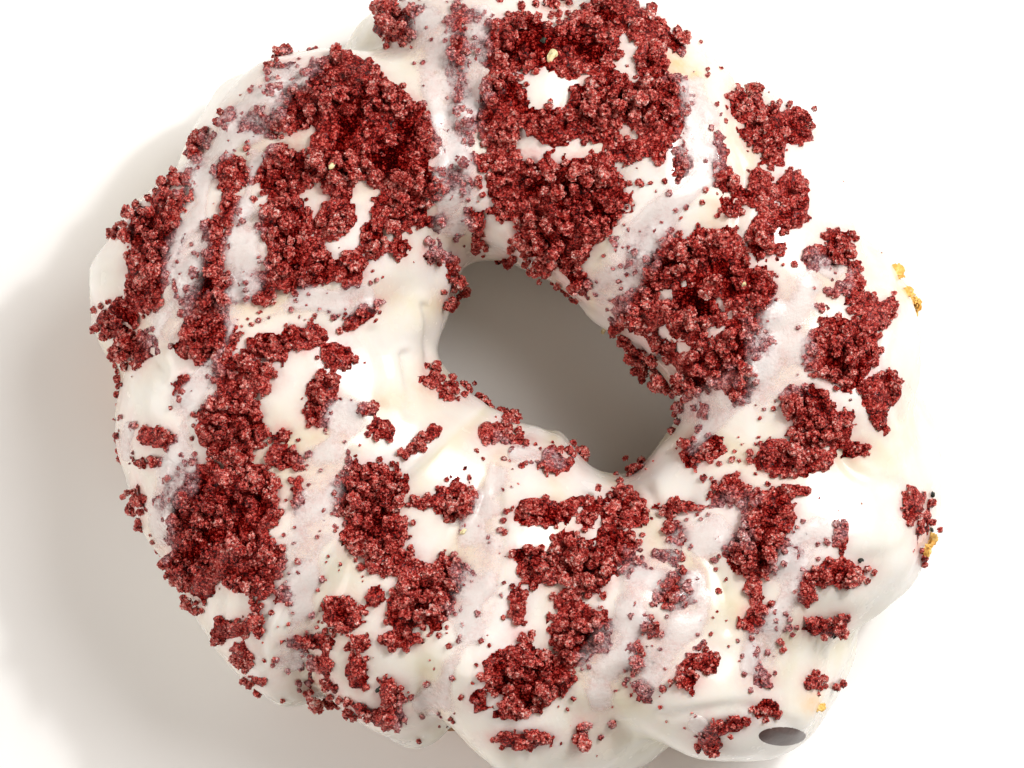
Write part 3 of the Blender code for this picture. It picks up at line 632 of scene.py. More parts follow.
CREASES = (
    # depth, half width, the line
    (0.45, 0.55, ((-10.7, 8.8), (-10.4, 5.0), (-10.2, 1.8))),
    (0.45, 0.50, ((-13.0, 3.4), (-12.4, 0.0), (-12.2, -3.4))),
    (0.35, 0.60, ((-16.5, 6.0), (-15.0, 1.5), (-15.5, -1.5))),
    (0.40, 0.60, ((-42.5, 19.0), (-40.5, 14.5), (-42.0, 9.0))),
    (0.40, 0.60, ((-47.0, 8.5), (-43.5, 5.5), (-40.0, 1.5))),
    (0.35, 0.60, ((-31.5, 31.5), (-27.0, 27.5), (-25.0, 22.0))),
    (0.40, 0.55, ((25.0, 34.0), (24.0, 28.5), (26.0, 24.0), (25.0, 17.5))),
    (0.35, 0.60, ((19.0, 33.0), (19.6, 29.5), (19.0, 26.0))),
    (0.40, 0.60, ((44.0, 12.0), (41.5, 4.0), (43.5, -4.0))),
    (0.40, 0.60, ((33.5, -0.5), (38.0, -9.5), (44.0, -11.5))),
    (0.35, 0.60, ((15.0, -11.5), (17.0, -15.5), (22.5, -20.5), (24.0, -27.5))),
    (0.40, 0.60, ((11.0, -12.5), (11.5, -24.5), (9.5, -31.0))),
    (0.35, 0.60, ((-2.5, -9.5), (-1.5, -16.5), (-3.0, -27.5))),
    (0.40, 0.60, ((-18.5, -8.0), (-19.5, -20.5), (-23.5, -28.5))),
    (0.40, 0.60, ((-28.0, -14.0), (-33.0, -24.0), (-33.5, -29.0))),
    (0.35, 0.60, ((6.0, 33.0), (4.5, 24.5), (0.5, 17.0))),
    (0.35, 0.60, ((17.0, -37.5), (24.0, -36.0), (31.0, -38.0))),
)

WAVES = ((8.0, 11, 0.34), (4.0, 12, 0.20))
COAT_LEVEL = 0.12
FOLD_HEIGHT = 0.34
FOLD_WIDTH = 0.22
CREASE_CUT = 0.8
CREASE_BANK = 0.2
OUTER_SWELL = 0.3
INNER_SWELL = 0.2
SWELL_SPREAD = 6.0


# %% Relief of the icing
def drape_folds(plain, column, section):
    """Height of the folds in which the icing hangs down the outside of the ring."""
    drape = np.stack((column * 3.0, section * 0.11, np.zeros_like(column)), -1)
    fold = wander(drape, 5.5, 13)
    uneven = np.clip(0.5 + wander(plain, 12.0, 14), 0.0, 1.0)
    outside = eased(((-90.0, 1.0), (45.0, 1.0), (95.0, 0.0), (270.0, 0.0)), section)
    return FOLD_HEIGHT * np.exp(-(fold / FOLD_WIDTH) ** 2) * uneven * outside


def crease_profile(plain, width, line):
    """Depth of a crease along a line, with a low bank on each side, as a share of its full depth."""
    spots = stripe_line(line, 0.4)[0]
    away = np.min([np.hypot(plain[..., 0] - x, plain[..., 1] - y) for x, y in spots], axis=0)
    bank = np.exp(-((away - 2.0 * width) / width) ** 2)
    return CREASE_CUT * np.exp(-(away / width) ** 2) - CREASE_BANK * bank


def coat_inset(column, section):
    """How far the coat's outside lies inside the ring's skin: bulges and waves are below nought."""
    plain = ring_points(column, section, np.zeros_like(column))
    raised = layered(plain, WAVES)
    levelled = round_the_ring(HOLE_RELIEF, column) - round_the_ring(SOFT_RELIEF, column)
    near_hole = eased(((-90.0, 0.0), (95.0, 0.0), (145.0, 1.0), (270.0, 1.0)), section)
    raised += levelled * eased(RELIEF_ROUND, section) * near_hole
    raised -= drape_folds(plain, column, section)
    for depth, width, line in CREASES:
        raised -= depth * crease_profile(plain, width, line)
    for x, y, size, height in BULGES:
        apart = np.hypot(plain[..., 0] - x, plain[..., 1] - y) / size
        raised += height * np.exp(-apart ** 2 * 1.4) * (plain[..., 2] > 12.0)
    lip_out = np.exp(-((section - outer_lip(column) - 4.0) / SWELL_SPREAD) ** 2)
    lip_in = np.exp(-((inner_lip(column) - section - 4.0) / SWELL_SPREAD) ** 2)
    return COAT_LEVEL - raised - OUTER_SWELL * lip_out - INNER_SWELL * lip_in


def kept_in_box(points, spare=0.03):
    """Points in mm, none outside the box of the solids."""
    low, high = [1000.0 * np.array(corner) for corner in cad_box]
    return np.clip(points, low + spare * (low < -1.0), high - spare)


# %% Shaping the icing
SECTION_HALF = 16.0


def icing_coat():
    rows = OUT_ROWS + 2 * LIP_ROWS + IN_ROWS
    coat, round_step, row = fine_torus("icing_coat", COAT_ROUND, rows)
    column = round_step * COUNT / COAT_ROUND
    low = outer_lip(column)
    high = inner_lip(column)
    thick = icing_thickness(column)
    half_lip = np.degrees(thick / 2.0 / SECTION_HALF)
    out = np.clip(row / (OUT_ROWS - 1), 0.0, 1.0)
    turn_in = np.clip((row - OUT_ROWS + 1) / (LIP_ROWS + 1), 0.0, 1.0) * math.pi
    back = np.clip((row - OUT_ROWS - LIP_ROWS) / (IN_ROWS - 1), 0.0, 1.0)
    turn_out = np.clip((row - OUT_ROWS - LIP_ROWS - IN_ROWS + 1) / (LIP_ROWS + 1), 0.0, 1.0) * math.pi
    section = low + (high - low) * (out - back)
    section += half_lip * (np.sin(turn_in) - np.sin(turn_out))
    depth = (1.0 - np.cos(turn_in)) / 2.0 - (1.0 - np.cos(turn_out)) / 2.0
    outside = coat_inset(column, np.clip(section, low, high))
    inset = outside + (thick - outside) * depth
    place_points(coat, kept_in_box(ring_points(column, section, inset)))
    tidy_faces(coat)
    # The groove depth, for the painted greenish shade in the grooves.
    add_number(coat, "depth", 1.0 - np.clip(round_the_ring(EDGE_RISE, column), 0.0, 1.0))
    print("icing coat:", triangles(coat), "triangles")
    return coat


icing = icing_coat()
icing_tree = BVHTree.FromObject(icing, bpy.context.evaluated_depsgraph_get())


# %% Finding the icing under a place
OVERHEAD = 100.0
DOWN = Vector((0.0, 0.0, -1.0))


def over(x, y, height):
    """A place that many mm above the ground, in metres, as Blender's searches take it."""
    return Vector((x + BOX_SHIFT[0], y + BOX_SHIFT[1], height)) * MM


def coat_under(x, y):
    """Point in mm and normal of the coat under a place seen from above, or the nearest at half height."""
    found, normal, _, _ = icing_tree.ray_cast(over(x, y, OVERHEAD), DOWN)
    if found is None or found.z < 2.0 * MM:
        found, normal, _, _ = icing_tree.find_nearest(over(x, y, RING_HEIGHT * 0.45))
    return np.array(found) / MM, np.array(normal)


print("the bare bulge at the left is at", np.round(coat_under(-27.0, -3.0)[0], 1))

# %% [markdown]
# ## Red cake crumbs
#
# Crumbled cake is not round grains: it tears into small rough clumps of moist grains that stick
# together with pores between them. A clump is grown once, grain by grain, from small balls that each
# touch one before, then fused by a voxel remesh and thinned out. A few large and small clumps are then
# copied, turned and sized hundreds of times, and joined by kind.

# %% Modelling the clumps
CLUMPS = (
    # grains, grain radius, flatness, triangles
    (165, 0.155, 0.78, 800),
    (150, 0.165, 0.70, 800),
    (160, 0.155, 0.85, 800),
    (145, 0.170, 0.75, 800),
    (34, 0.300, 0.80, 158),
    (30, 0.320, 0.70, 158),
)
LARGE_KINDS = 4
GRAIN_VOXEL = 0.075
GRAINS_APART = 0.72
CROWD_REACH = 1.25
CROWD = 4


def grown_grains(kind):
    """Middles and radii in mm of a clump's grains: each touches one before, and none is crowded in."""
    grains, grain, flatness, _ = CLUMPS[kind]
    draw = np.random.default_rng(100 + kind)
    spots = [np.zeros(3)]
    radii = [grain * 1.3]
    while len(spots) < grains:
        on = int(draw.integers(len(spots)))
        way = draw.normal(size=3)
        way /= np.linalg.norm(way)
        radius = grain * draw.uniform(0.7, 1.2)
        spot = spots[on] + way * (radii[on] + radius) * GRAINS_APART
        out = np.linalg.norm(spot / (1.0, 0.9, flatness))
        crowd = sum(np.linalg.norm(spot - other) < grain * CROWD_REACH for other in spots)
        if out < 1.0 - radius * 0.8 and crowd < CROWD:
            spots.append(spot)
            radii.append(radius)
    return spots, radii


def taken_apart(piece, faces):
    """A piece's points in mm with its faces. The piece itself is removed."""
    points = points_of(piece)
    bpy.data.objects.remove(piece, do_unlink=True)
    return points, faces


def crumb_clump(kind):
    """One clump of moist grains about two millimetres across, as points and triangles."""
    _, _, flatness, faces_wanted = CLUMPS[kind]
    spots, radii = grown_grains(kind)
    start_clean()
    bpy.ops.mesh.primitive_ico_sphere_add(subdivisions=2, radius=0.5 * flatness * MM)
    clump = rename("clump_%d" % kind)
    bpy.ops.object.mode_set(mode="EDIT")
    for spot, radius in zip(spots, radii):
        bpy.ops.mesh.primitive_ico_sphere_add(subdivisions=2, radius=radius * MM, location=tuple(spot * MM))
    bpy.ops.object.mode_set(mode="OBJECT")
    fuse = clump.modifiers.new("fuse", "REMESH")
    fuse.mode = "VOXEL"
    fuse.voxel_size = GRAIN_VOXEL * MM
    apply_all(clump)
    points = points_of(clump)
    normals = np.array([v.normal for v in clump.data.vertices])
    rough = wander(points, 0.2, 50 + kind) * 0.07
    place_points(clump, points + normals * rough[:, None])
    thin = clump.modifiers.new("thin", "DECIMATE")
    thin.ratio = faces_wanted / triangles(clump)
    apply_all(clump)
    clump.data.calc_loop_triangles()
    faces = np.array([t.vertices for t in clump.data.loop_triangles])
    return taken_apart(clump, faces)


clumps = [crumb_clump(kind) for kind in range(len(CLUMPS))]
print("clumps of", [len(faces) for _, faces in clumps], "triangles")


# %% A single loose crumb
def loose_crumb(kind):
    """A grain that came off: the first four kinds are finely shaped, the last four are for specks."""
    draw = np.random.default_rng(200 + kind)
    start_clean()
    bpy.ops.mesh.primitive_ico_sphere_add(subdivisions=2 if kind < 4 else 1, radius=0.5 * MM)
    crumb = rename("crumb_%d" % kind)
    points = points_of(crumb)
    rough = 1.0 + 0.46 * wander(points, 0.30, 90 + kind)[:, None]
    place_points(crumb, points * rough * draw.uniform(0.7, 1.2, 3))
    faces = np.array([tuple(p.vertices) for p in crumb.data.polygons])
    return taken_apart(crumb, faces)


loose = [loose_crumb(kind) for kind in range(8)]
print("loose crumbs of", [len(faces) for _, faces in loose], "triangles")


# %% [markdown]
# ## The bed of fine crumbs
#
# Between the clumps the icing is covered with finer crumbs pressed into it while it was wet. They are
# one sheet: a fine grid cut to the drifts, laid on the icing and raised in lumps and pits, with its edge
# sunk below the icing's skin.

# %% The bed
DRIFT_GROWTH = 0.24
BED_STEP = 0.26
BED_HALF = 47.0
BED_DEEP = 0.42
BED_LEAST = 0.12
BED_SUNK = 0.3
BED_EDGE = -0.05
BED_RAGGED = ((1.5, 41, 0.46), (0.5, 42, 0.28))
BED_LUMPS = ((1.6, 43, 0.25), (0.6, 44, 0.20))
TOP_LIMIT = 1000.0 * cad_box[1][2] - 0.15
SIDE_LIMIT = 1000.0 * np.array(cad_box[1][:2]) - 0.05


def drift_depth(x, y):
    """How many millimetres a place lies inside the drifts, below nought outside them."""
    depth = np.full(np.shape(x), -9.0)
    for drift in DRIFTS:
        own = (1.0 - inside(x, y, drift)) * math.sqrt(drift[2] * drift[3]) + DRIFT_GROWTH
        depth = np.maximum(depth, own)
    for gap in GAPS:
        depth = np.minimum(depth, (inside(x, y, gap) - 1.0) * math.sqrt(gap[2] * gap[3]))
    return depth


def pit_share(places):
    """How far each place lies in a pit, from 0 to 1, for the painted shade there."""
    away = [np.hypot(places[:, 0] - x, places[:, 1] - y) / (1.3 * radius) for x, y, radius in PITS]
    return np.exp(-np.min(away, axis=0) ** 2)


def sheet_of_drifts():
    """A fine flat grid with a ragged edge, cut to the drifts, and the depth of its points inside them."""
    across = int(2.0 * BED_HALF / BED_STEP)
    start_clean()
    bpy.ops.mesh.primitive_grid_add(
        x_subdivisions=across, y_subdivisions=across, size=2.0 * BED_HALF * MM,
    )
    bed = rename("crumb_bed")
    points = points_of(bed)
    depth = drift_depth(points[:, 0], points[:, 1])
    depth += 0.28 + layered(points, BED_RAGGED) * np.clip(1.0 - depth / 0.8, 0.25, 1.0)
    take_up(bed)
    bpy.ops.object.mode_set(mode="EDIT")
    bpy.ops.mesh.select_all(action="DESELECT")
    bpy.ops.object.mode_set(mode="OBJECT")
    bed.data.vertices.foreach_set("select", depth < BED_EDGE)
    bpy.ops.object.mode_set(mode="EDIT")
    bpy.ops.mesh.delete(type="VERT")
    bpy.ops.object.mode_set(mode="OBJECT")
    return bed, depth[depth >= BED_EDGE]


def crumb_bed():
    """The cut sheet laid on the icing, with lumps and pits, and what its material reads: painted light and
    shade, and the glaze over it.
    """
    bed, depth = sheet_of_drifts()
    points = points_of(bed)
    spread = points.copy()
    lumps = layered(points, BED_LUMPS)
    sunk = 0.75 * np.clip(1.2 - glaze_away(spread[:, 0], spread[:, 1]), 0.0, 1.0)
    full = np.minimum(depth / 0.4, 1.0)
    height = np.maximum(full * (BED_DEEP * (1.0 - sunk) + lumps), full * BED_LEAST)
    height -= BED_SUNK * np.exp(-depth / 0.12)
    for i, (x, y, _) in enumerate(points):
        spot, normal = coat_under(x, y)
        flat = min(max((normal[2] - 0.3) / 0.2, 0.0), 1.0)
        points[i] = spot + normal * (max(height[i], -BED_SUNK) * flat - BED_SUNK * (1.0 - flat))
    points[:, 2] = np.minimum(points[:, 2], TOP_LIMIT)
    place_points(bed, points)
    bpy.ops.object.shade_smooth()
    # Painted light and shade on the bed: lighter on its lumps and towards the drifts' edges, with painted
    # shade darkening the pits and the middle of deep drifts.
    edge = np.exp(-np.clip(depth, 0.0, None) / 0.5)
    add_number(bed, "tone_and_shade", 0.5 * edge)
    shade = 0.5 * pit_share(spread) + 0.08 * np.clip(depth - 1.2, 0.0, 1.8)
    add_number(bed, "open", np.clip(0.10 + 0.25 * edge + lumps * 0.7 - shade, -0.5, 1.0))
    add_number(bed, "glazed", np.clip((1.1 - glaze_away(spread[:, 0], spread[:, 1])) / 0.4, 0.0, 1.0))
    print("crumb bed:", triangles(bed), "triangles")
    return bed


bed = crumb_bed()

# %% [markdown]
# ## Strewing the crumbs
#
# Clumps are set on a jittered grid inside each drift, half sunk in the bed, and a second layer goes on
# the middle of the larger drifts, so the piles have peaks and pits. Each clump gets a random tone with
# painted light on the peaks and painted shade in the hollows and deep inside large drifts. Loose crumbs
# fall round every drift, and the finest ones are scattered over all of the icing.

# %% Choosing places
GRID_HALF = 48.0
ROW_APART = 0.87
SHAKE = 0.36
STEEP = 0.62


def uneven_grid(spacing):
    """Places on a shaken grid over the whole ring, with their depth inside the drifts."""
    j, i = np.mgrid[0:int(2.0 * GRID_HALF / (spacing * ROW_APART)), 0:int(2.0 * GRID_HALF / spacing)]
    x = (i + 0.5 * (j % 2)) * spacing - GRID_HALF + draw.uniform(-SHAKE, SHAKE, i.shape) * spacing
    y = j * spacing * ROW_APART - GRID_HALF + draw.uniform(-SHAKE, SHAKE, i.shape) * spacing
    depth = drift_depth(x, y) + draw.normal(0.0, 0.16, i.shape)
    return x.ravel(), y.ravel(), depth.ravel()


def in_a_pit(x, y):
    return any(math.hypot(x - px, y - py) < 1.5 * r for px, py, r in PITS)


def on_coat(px, py, rise):
    """A place above the coat, kept inside the box of the solids, and the way up from the coat there."""
    spot, normal = coat_under(px, py)
    spot = spot + normal * rise
    spot[2] = min(spot[2], TOP_LIMIT)
    return spot, normal


def lower_down(px, py, rise, distance):
    """A place that far down the slope from another, or nothing where the coat is nearly level."""
    spot, normal = coat_under(px, py)
    if normal[2] > STEEP:
        return None
    downhill = normal * normal[2] - (0.0, 0.0, 1.0)
    downhill /= np.linalg.norm(downhill)
    found, normal, _, _ = icing_tree.find_nearest(Vector((spot + downhill * distance) * MM))
    return np.array(found) / MM + np.array(normal) * rise, np.array(normal)


LAYERS = (
    # spacing, least depth, most depth, sizes, rise above the icing, share kept
    (1.66, 0.62, 99.0, 0.84, 1.22, 0.25, 0.45, 1.0),
    (2.20, 1.15, 99.0, 0.75, 1.10, 1.05, 1.60, 0.75),
    (1.02, -0.10, 0.95, 0.38, 0.66, 0.10, 0.35, 0.85),
    (1.70, 0.80, 99.0, 0.34, 0.60, 1.00, 1.70, 0.50),
)
UNDER_GLAZE = 0.70
SUNK_IN_GLAZE = 0.60
HOLLOW = -0.35
HOLLOW_LEFT = 0.45
LARGE_FROM = 0.68
SMALL_DRIFT = 1.1
draw = np.random.default_rng(CRUMB_SEED)
clump_places = [[] for _ in CLUMPS]


def pile(x, y):
    """How much higher than usual the crumbs lie, from -1 in a hollow to 1 on a peak."""
    return float(np.clip(wander(np.array((x, y, 0.0)), 2.4, 46) * 0.8, -1.0, 1.0))


def strew(x, y, size, rise, large, depth=0.0):
    kinds = range(LARGE_KINDS) if large else range(LARGE_KINDS, len(CLUMPS))
    for found in (on_coat(x, y, rise), lower_down(x, y, rise, size * draw.uniform(0.9, 1.5))):
        if found is not None:
            spot, up = found
            spot[2] = min(spot[2], TOP_LIMIT - size * 0.9)
            kind = int(draw.choice(kinds))
            # A random tone, with painted light on the peaks of the piles and painted shade in the hollows and
            # deep inside large drifts.
            tone_and_shade = 0.45 * draw.uniform() + 0.55 * (0.5 + 0.5 * pile(x, y))
            tone_and_shade -= 0.32 * min(max(depth - 1.2, 0.0), 1.8)
            clump_places[kind].append((spot, up, size, draw.uniform(0.0, 2.0 * math.pi, 3), tone_and_shade))


for spacing, least, most, small, large, low, high, share in LAYERS:
    for x, y, depth in zip(*uneven_grid(spacing)):
        if depth < least or depth > most or draw.uniform() > share or in_a_pit(x, y):
            continue
        if glaze_away(x, y) < UNDER_GLAZE and draw.uniform() < SUNK_IN_GLAZE:
            continue
        peak = pile(x, y)
        if depth > 0.9 and peak < HOLLOW and (high > 1.0 or draw.uniform() < HOLLOW_LEFT):
            continue
        size = draw.uniform(small, large)
        rise = draw.uniform(low, high) + max(peak, 0.0) * min(depth, 1.2) * 0.9
        strew(x, y, size, rise, size > LARGE_FROM, depth)
for x, y, depth in zip(*uneven_grid(1.05)):
    away = glaze_away(x, y)
    if away < 1.25 and depth < 0.0 and draw.uniform() < 0.04 + 0.20 * min(away, 1.0) ** 2:
        strew(x, y, draw.uniform(0.26, 0.62), 0.10, False)
for x, y, length, width, _ in DRIFTS:
    if length * width < SMALL_DRIFT:
        size = min(0.66, 0.8 * math.sqrt(length * width))
        strew(x, y, size, 0.2, False)

# %% Loose crumbs round the drifts
LOOSE_NEAR = 480
LOOSE_FAR = 130


def loose_places():
    weights = np.array([math.sqrt(d[2] * d[3]) for d in DRIFTS])
    places = []
    for drift in draw.choice(len(DRIFTS), LOOSE_NEAR, p=weights / weights.sum()):
        x, y, length, width, heading = DRIFTS[drift]
        way = draw.uniform(0.0, 2.0 * math.pi)
        out = 1.0 + abs(draw.normal(0.0, 0.22)) + 0.3 / max(length, width)
        turn = math.radians(heading)
        along = math.cos(way) * length * out
        aside = math.sin(way) * width * out
        places.append((x + along * math.cos(turn) - aside * math.sin(turn),
                       y + along * math.sin(turn) + aside * math.cos(turn), draw.uniform(0.25, 0.95)))
    for _ in range(LOOSE_FAR):
        angle = draw.uniform(0.0, 2.0 * math.pi)
        radius = draw.uniform(17.0, 47.0)
        places.append((radius * math.cos(angle), radius * math.sin(angle), draw.uniform(0.12, 0.42)))
    return places


def washed_places():
    """Fine crumbs along the glaze stripes, where the thin glaze carried and covered them."""
    places = []
    for width, line in STRIPES:
        spots, ways = stripe_line(line, 0.6)
        for (x, y), (wx, wy) in zip(spots, ways):
            for _ in range(int(draw.integers(0, 3))):
                out = draw.choice((-0.5, 0.5)) * width * draw.normal(1.0, 0.35)
                places.append((x + wy * out, y - wx * out, abs(draw.normal(0.0, 0.28)) + 0.22))
    return places


loose_list = []
for px, py, size in loose_places() + washed_places():
    if np.any(np.abs((px, py)) > SIDE_LIMIT - 1.0) or any(inside(px, py, gap) < 0.9 for gap in GAPS):
        continue
    if size > 0.5:
        strew(px, py, 0.6 * size, 0.1, False)
        continue
    spot, up = on_coat(px, py, 0.16 * size)
    kind = int(draw.integers(4)) + (4 if size < 0.36 else 0)
    loose_list.append((spot, up, size, draw.uniform(0.0, 6.3, 3), draw.uniform(0.3, 1.0), kind))
print("clumps placed:", [len(p) for p in clump_places], "and loose crumbs:", len(loose_list))

# %% [markdown]
# ## Joining the copies
#
# The copies of a kind become one mesh. On the real food the underside of a crumb is pressed into the
# icing or into other crumbs and never shows, so the faces of a copy that look down into the coat are
# left out. That buys finer grains on the side that does show.


# %% Joining the copies
FACES_DOWN = -0.35


def glazed_share(points):
    """How far glaze covers each point, from 0 to 1."""
    places = points - BOX_SHIFT
    away = glaze_away(places[:, 0], places[:, 1]) + wander(places, 1.3, 47, 12) * 0.28
    share = np.clip((1.25 - away) / 0.6, 0.0, 1.0)
    return share * share * (3.0 - 2.0 * share)


def joined_copies(name, shapes, places):
    """One mesh of copies of shapes.

    A place is a point in mm, the way up, a size, three turns, a tone, which for clumps holds painted light
    and shade, and the number of its shape.
    """
    points = []
    faces = []
    tones_and_shades = []
    painted_lights = []
    count = 0
    for spot, up, size, turns, tone_and_shade, shape in places:
        own_points, own_faces = shapes[shape]
        turned = own_points @ np.array(Euler(turns).to_matrix()).T
        corners = turned[own_faces]
        facing = np.cross(corners[:, 1] - corners[:, 0], corners[:, 2] - corners[:, 0])
        facing /= np.linalg.norm(facing, axis=1)[:, None] + 1e-9
        kept, own_faces = np.unique(own_faces[facing @ up > FACES_DOWN], return_inverse=True)
        own_faces = own_faces.reshape(-1, 3)
        far_all = np.linalg.norm(turned, axis=1).max()
        turned = turned[kept]
        points.append(turned * size + spot)
        faces.append(own_faces + count)
        tones_and_shades.append(np.full(len(turned), tone_and_shade))
        # Painted light: the outer and upper sides of each copy come out lighter, and painted shade darkens
        # its inner parts.
        far = np.linalg.norm(turned, axis=1)
        above = turned[:, 2] / far_all
        painted_lights.append(np.clip((far / far_all - 0.5) * 1.8 * (0.75 + 0.35 * above), 0.0, 1.0))
        count += len(turned)
    points = np.concatenate(points)
    points[:, :2] = np.clip(points[:, :2], -SIDE_LIMIT, SIDE_LIMIT)
    faces = np.concatenate(faces)
    mesh = bpy.data.meshes.new(name)
    mesh.vertices.add(count)
    mesh.vertices.foreach_set("co", (points * MM).ravel())
    mesh.loops.add(faces.size)
    mesh.loops.foreach_set("vertex_index", faces.ravel())
    mesh.polygons.add(len(faces))
    mesh.polygons.foreach_set("loop_start", np.arange(0, faces.size, 3))
    mesh.polygons.foreach_set("use_smooth", np.ones(len(faces), bool))
    mesh.update(calc_edges=True)
    piece = bpy.data.objects.new(name, mesh)
    bpy.context.collection.objects.link(piece)
    add_number(piece, "tone_and_shade", np.concatenate(tones_and_shades))
    add_number(piece, "open", np.concatenate(painted_lights))
    add_number(piece, "glazed", glazed_share(points))
    print(name, ":", len(places), "copies,", len(faces), "triangles")
    return piece


crumb_pieces = [bed]
for kind, places in enumerate(clump_places):
    crumb_pieces.append(joined_copies("cake_clumps_%d" % (kind + 1), clumps, [(*p, kind) for p in places]))

crumb_pieces.append(joined_copies("loose_crumbs", loose, loose_list))

for piece in crumb_pieces:
    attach(piece, "root")

# %% [markdown]
# ## The milk glaze
#
# The glaze was drizzled last, so it lies on the icing and on the crumbs alike: a thin milky film with
# the crumbs' lumps under it and their tops breaking through. Each stripe is a grid laid from above on
# whatever is highest, smoothed as a thick liquid smooths itself, and given a little thickness.

# %% Laying a stripe
ALONG_STEP = 0.30
ACROSS = 30
FILM = 0.26
WIDER = 1.60
COVER_REACH = 1.50
MOST_LIFT = 2.6


def softened(grid, spread):
    """The grid with each value spread over its neighbours, as a liquid levels."""
    reach = int(3 * spread) + 1
    apart = np.arange(-reach, reach + 1)
    weight = np.exp(-0.5 * (apart / spread) ** 2)
    weight /= weight.sum()
    for axis in (0, 1):
        padded = np.pad(grid, [(reach, reach) if a == axis else (0, 0) for a in (0, 1)], mode="edge")
        grid = sum(w * np.take(padded, range(k, k + grid.shape[axis]), axis) for k, w in enumerate(weight))
    return grid


depsgraph = bpy.context.evaluated_depsgraph_get()
crumb_trees = [BVHTree.FromObject(piece, depsgraph) for piece in crumb_pieces]


def heights(x, y):
    """Height in mm of the icing and of the highest crumb above it, seen from above."""
    start = over(x, y, OVERHEAD)
    base = icing_tree.ray_cast(start, DOWN)[0]
    if base is None:
        return None, None
    hits = [tree.ray_cast(start, DOWN, start.z - base.z)[0] for tree in crumb_trees]
    return base.z / MM, max([base.z] + [hit.z for hit in hits if hit is not None]) / MM


def stripe_spots(number, width, places, ways):
    """Places in rows across a stripe, their shares from -1 to 1 across it, and its width near its ends."""
    rows = len(places)
    u = np.linspace(-1.0, 1.0, ACROSS)
    s = np.linspace(0.0, 1.0, rows)
    length = rows * ALONG_STEP
    ends = np.sqrt(np.clip(np.minimum(s, 1.0 - s) * length / (0.6 * width), 0.0, 1.0))
    flat = np.stack((places[:, 0], places[:, 1], np.full(rows, number * 7.0)), -1)
    left, right = [
        0.5 * WIDER * width * (1.0 + 0.28 * wander(flat, 2.6, seed)) * np.maximum(ends, 0.15)
        for seed in (31, 32)
    ]
    reach = np.where(u[None, :] < 0, left[:, None], right[:, None]) * u[None, :]
    aside = np.stack((ways[:, 1], -ways[:, 0]), -1)
    return places[:, None, :] + aside[:, None, :] * reach[..., None], u, ends


def glaze_stripe(number, stripe):
    width, line = stripe
    places, ways = stripe_line(line, ALONG_STEP)
    rows = len(places)
    start_clean()
    bpy.ops.mesh.primitive_grid_add(x_subdivisions=ACROSS - 1, y_subdivisions=rows - 1, size=0.01)
    film = rename("glaze_%02d" % number)
    spots, u, ends = stripe_spots(number, width, places, ways)
    base = np.zeros((rows, ACROSS))
    top = np.zeros((rows, ACROSS))
    for i in range(rows):
        for j in range(ACROSS):
            low, high = heights(*spots[i, j])
            if low is None:
                low = high = coat_under(*spots[i, j])[0][2]
            base[i, j] = low
            top[i, j] = high
    lift = np.minimum(top - base, MOST_LIFT)
    away = glaze_away(spots[..., 0], spots[..., 1])
    cover = softened(np.clip(COVER_REACH - away, 0.0, 1.0), 1.0)
    cover = cover * (1.0 - np.abs(u)[None, :] ** 5.0) * np.clip(ends[:, None] * 2.0 - 0.3, 0.0, 1.0)
    blobs = np.clip(1.0 + 0.6 * wander(np.concatenate((spots, base[..., None]), -1), 2.0, 33), 0.35, 1.9)
    body = softened(base + lift, 2.0) + FILM * cover * blobs - 0.10
    body = np.maximum(body, base + 0.04 + 0.10 * cover * blobs)
    firm = np.minimum(cover * 12.0, 1.0)
    body = body * firm + (base - 0.15 + softened(lift, 1.5) * 0.7) * (1.0 - firm)
    body = np.minimum(body, TOP_LIMIT)
    points = np.concatenate((spots + BOX_SHIFT[:2], body[..., None]), -1)
    place_points(film, points.reshape(-1, 3))
    on_crumb = np.clip(softened(lift, 0.8) / 0.7, 0.0, 1.0)
    above = np.clip((body - (base + lift)) / 0.30, 0.0, 1.0)
    add_number(film, "cover", cover.ravel())
    add_number(film, "thick", np.clip(cover * blobs, 0.0, 1.5).ravel())
    add_number(film, "stain", (on_crumb * (1.0 - 0.6 * above)).ravel())
    add_number(film, "on_crumb", on_crumb.ravel())
    return film


def glaze():
    films = [glaze_stripe(i, stripe) for i, stripe in enumerate(STRIPES)]
    start_clean()
    for film in films:
        film.select_set(True)
    bpy.context.view_layer.objects.active = films[0]
    bpy.ops.object.join()
    film = rename("milk_glaze")
    bpy.ops.object.shade_smooth()
    print("milk glaze:", triangles(film), "triangles in", len(STRIPES), "stripes")
    return film


milk_glaze = glaze()
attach(milk_glaze, "root")

# %% [markdown]
# ## Odd bits
#
# A few other things fell on it: gold flakes of crust at the right edge, a few cream-coloured bits of
# icing sugar, and tiny dark burnt specks.

# %% Flakes and specks
FLAKES = (
    (43.6, 12.3, 1.2), (44.7, 9.9, 1.0), (46.4, 8.6, 1.3), (45.6, 9.2, 0.9), (47.2, -18.2, 1.2),
    (46.7, -19.3, 0.9), (34.6, -37.2, 0.8),
)
SPECKS = (
    (47.4, -13, 0.7), (47.3, -17, 0.6), (36.2, -29, 0.6), (39, -20.4, 0.7), (-15.5, -35, 0.8),
    (3.2, 38.3, 0.8),
)
CREAM_BITS = ((4.2, 36.5, 1.3), (9.8, 5.2, 0.6), (-5.8, -17.3, 0.7), (25.8, 10.8, 0.6), (-20.6, 24.2, 0.8))


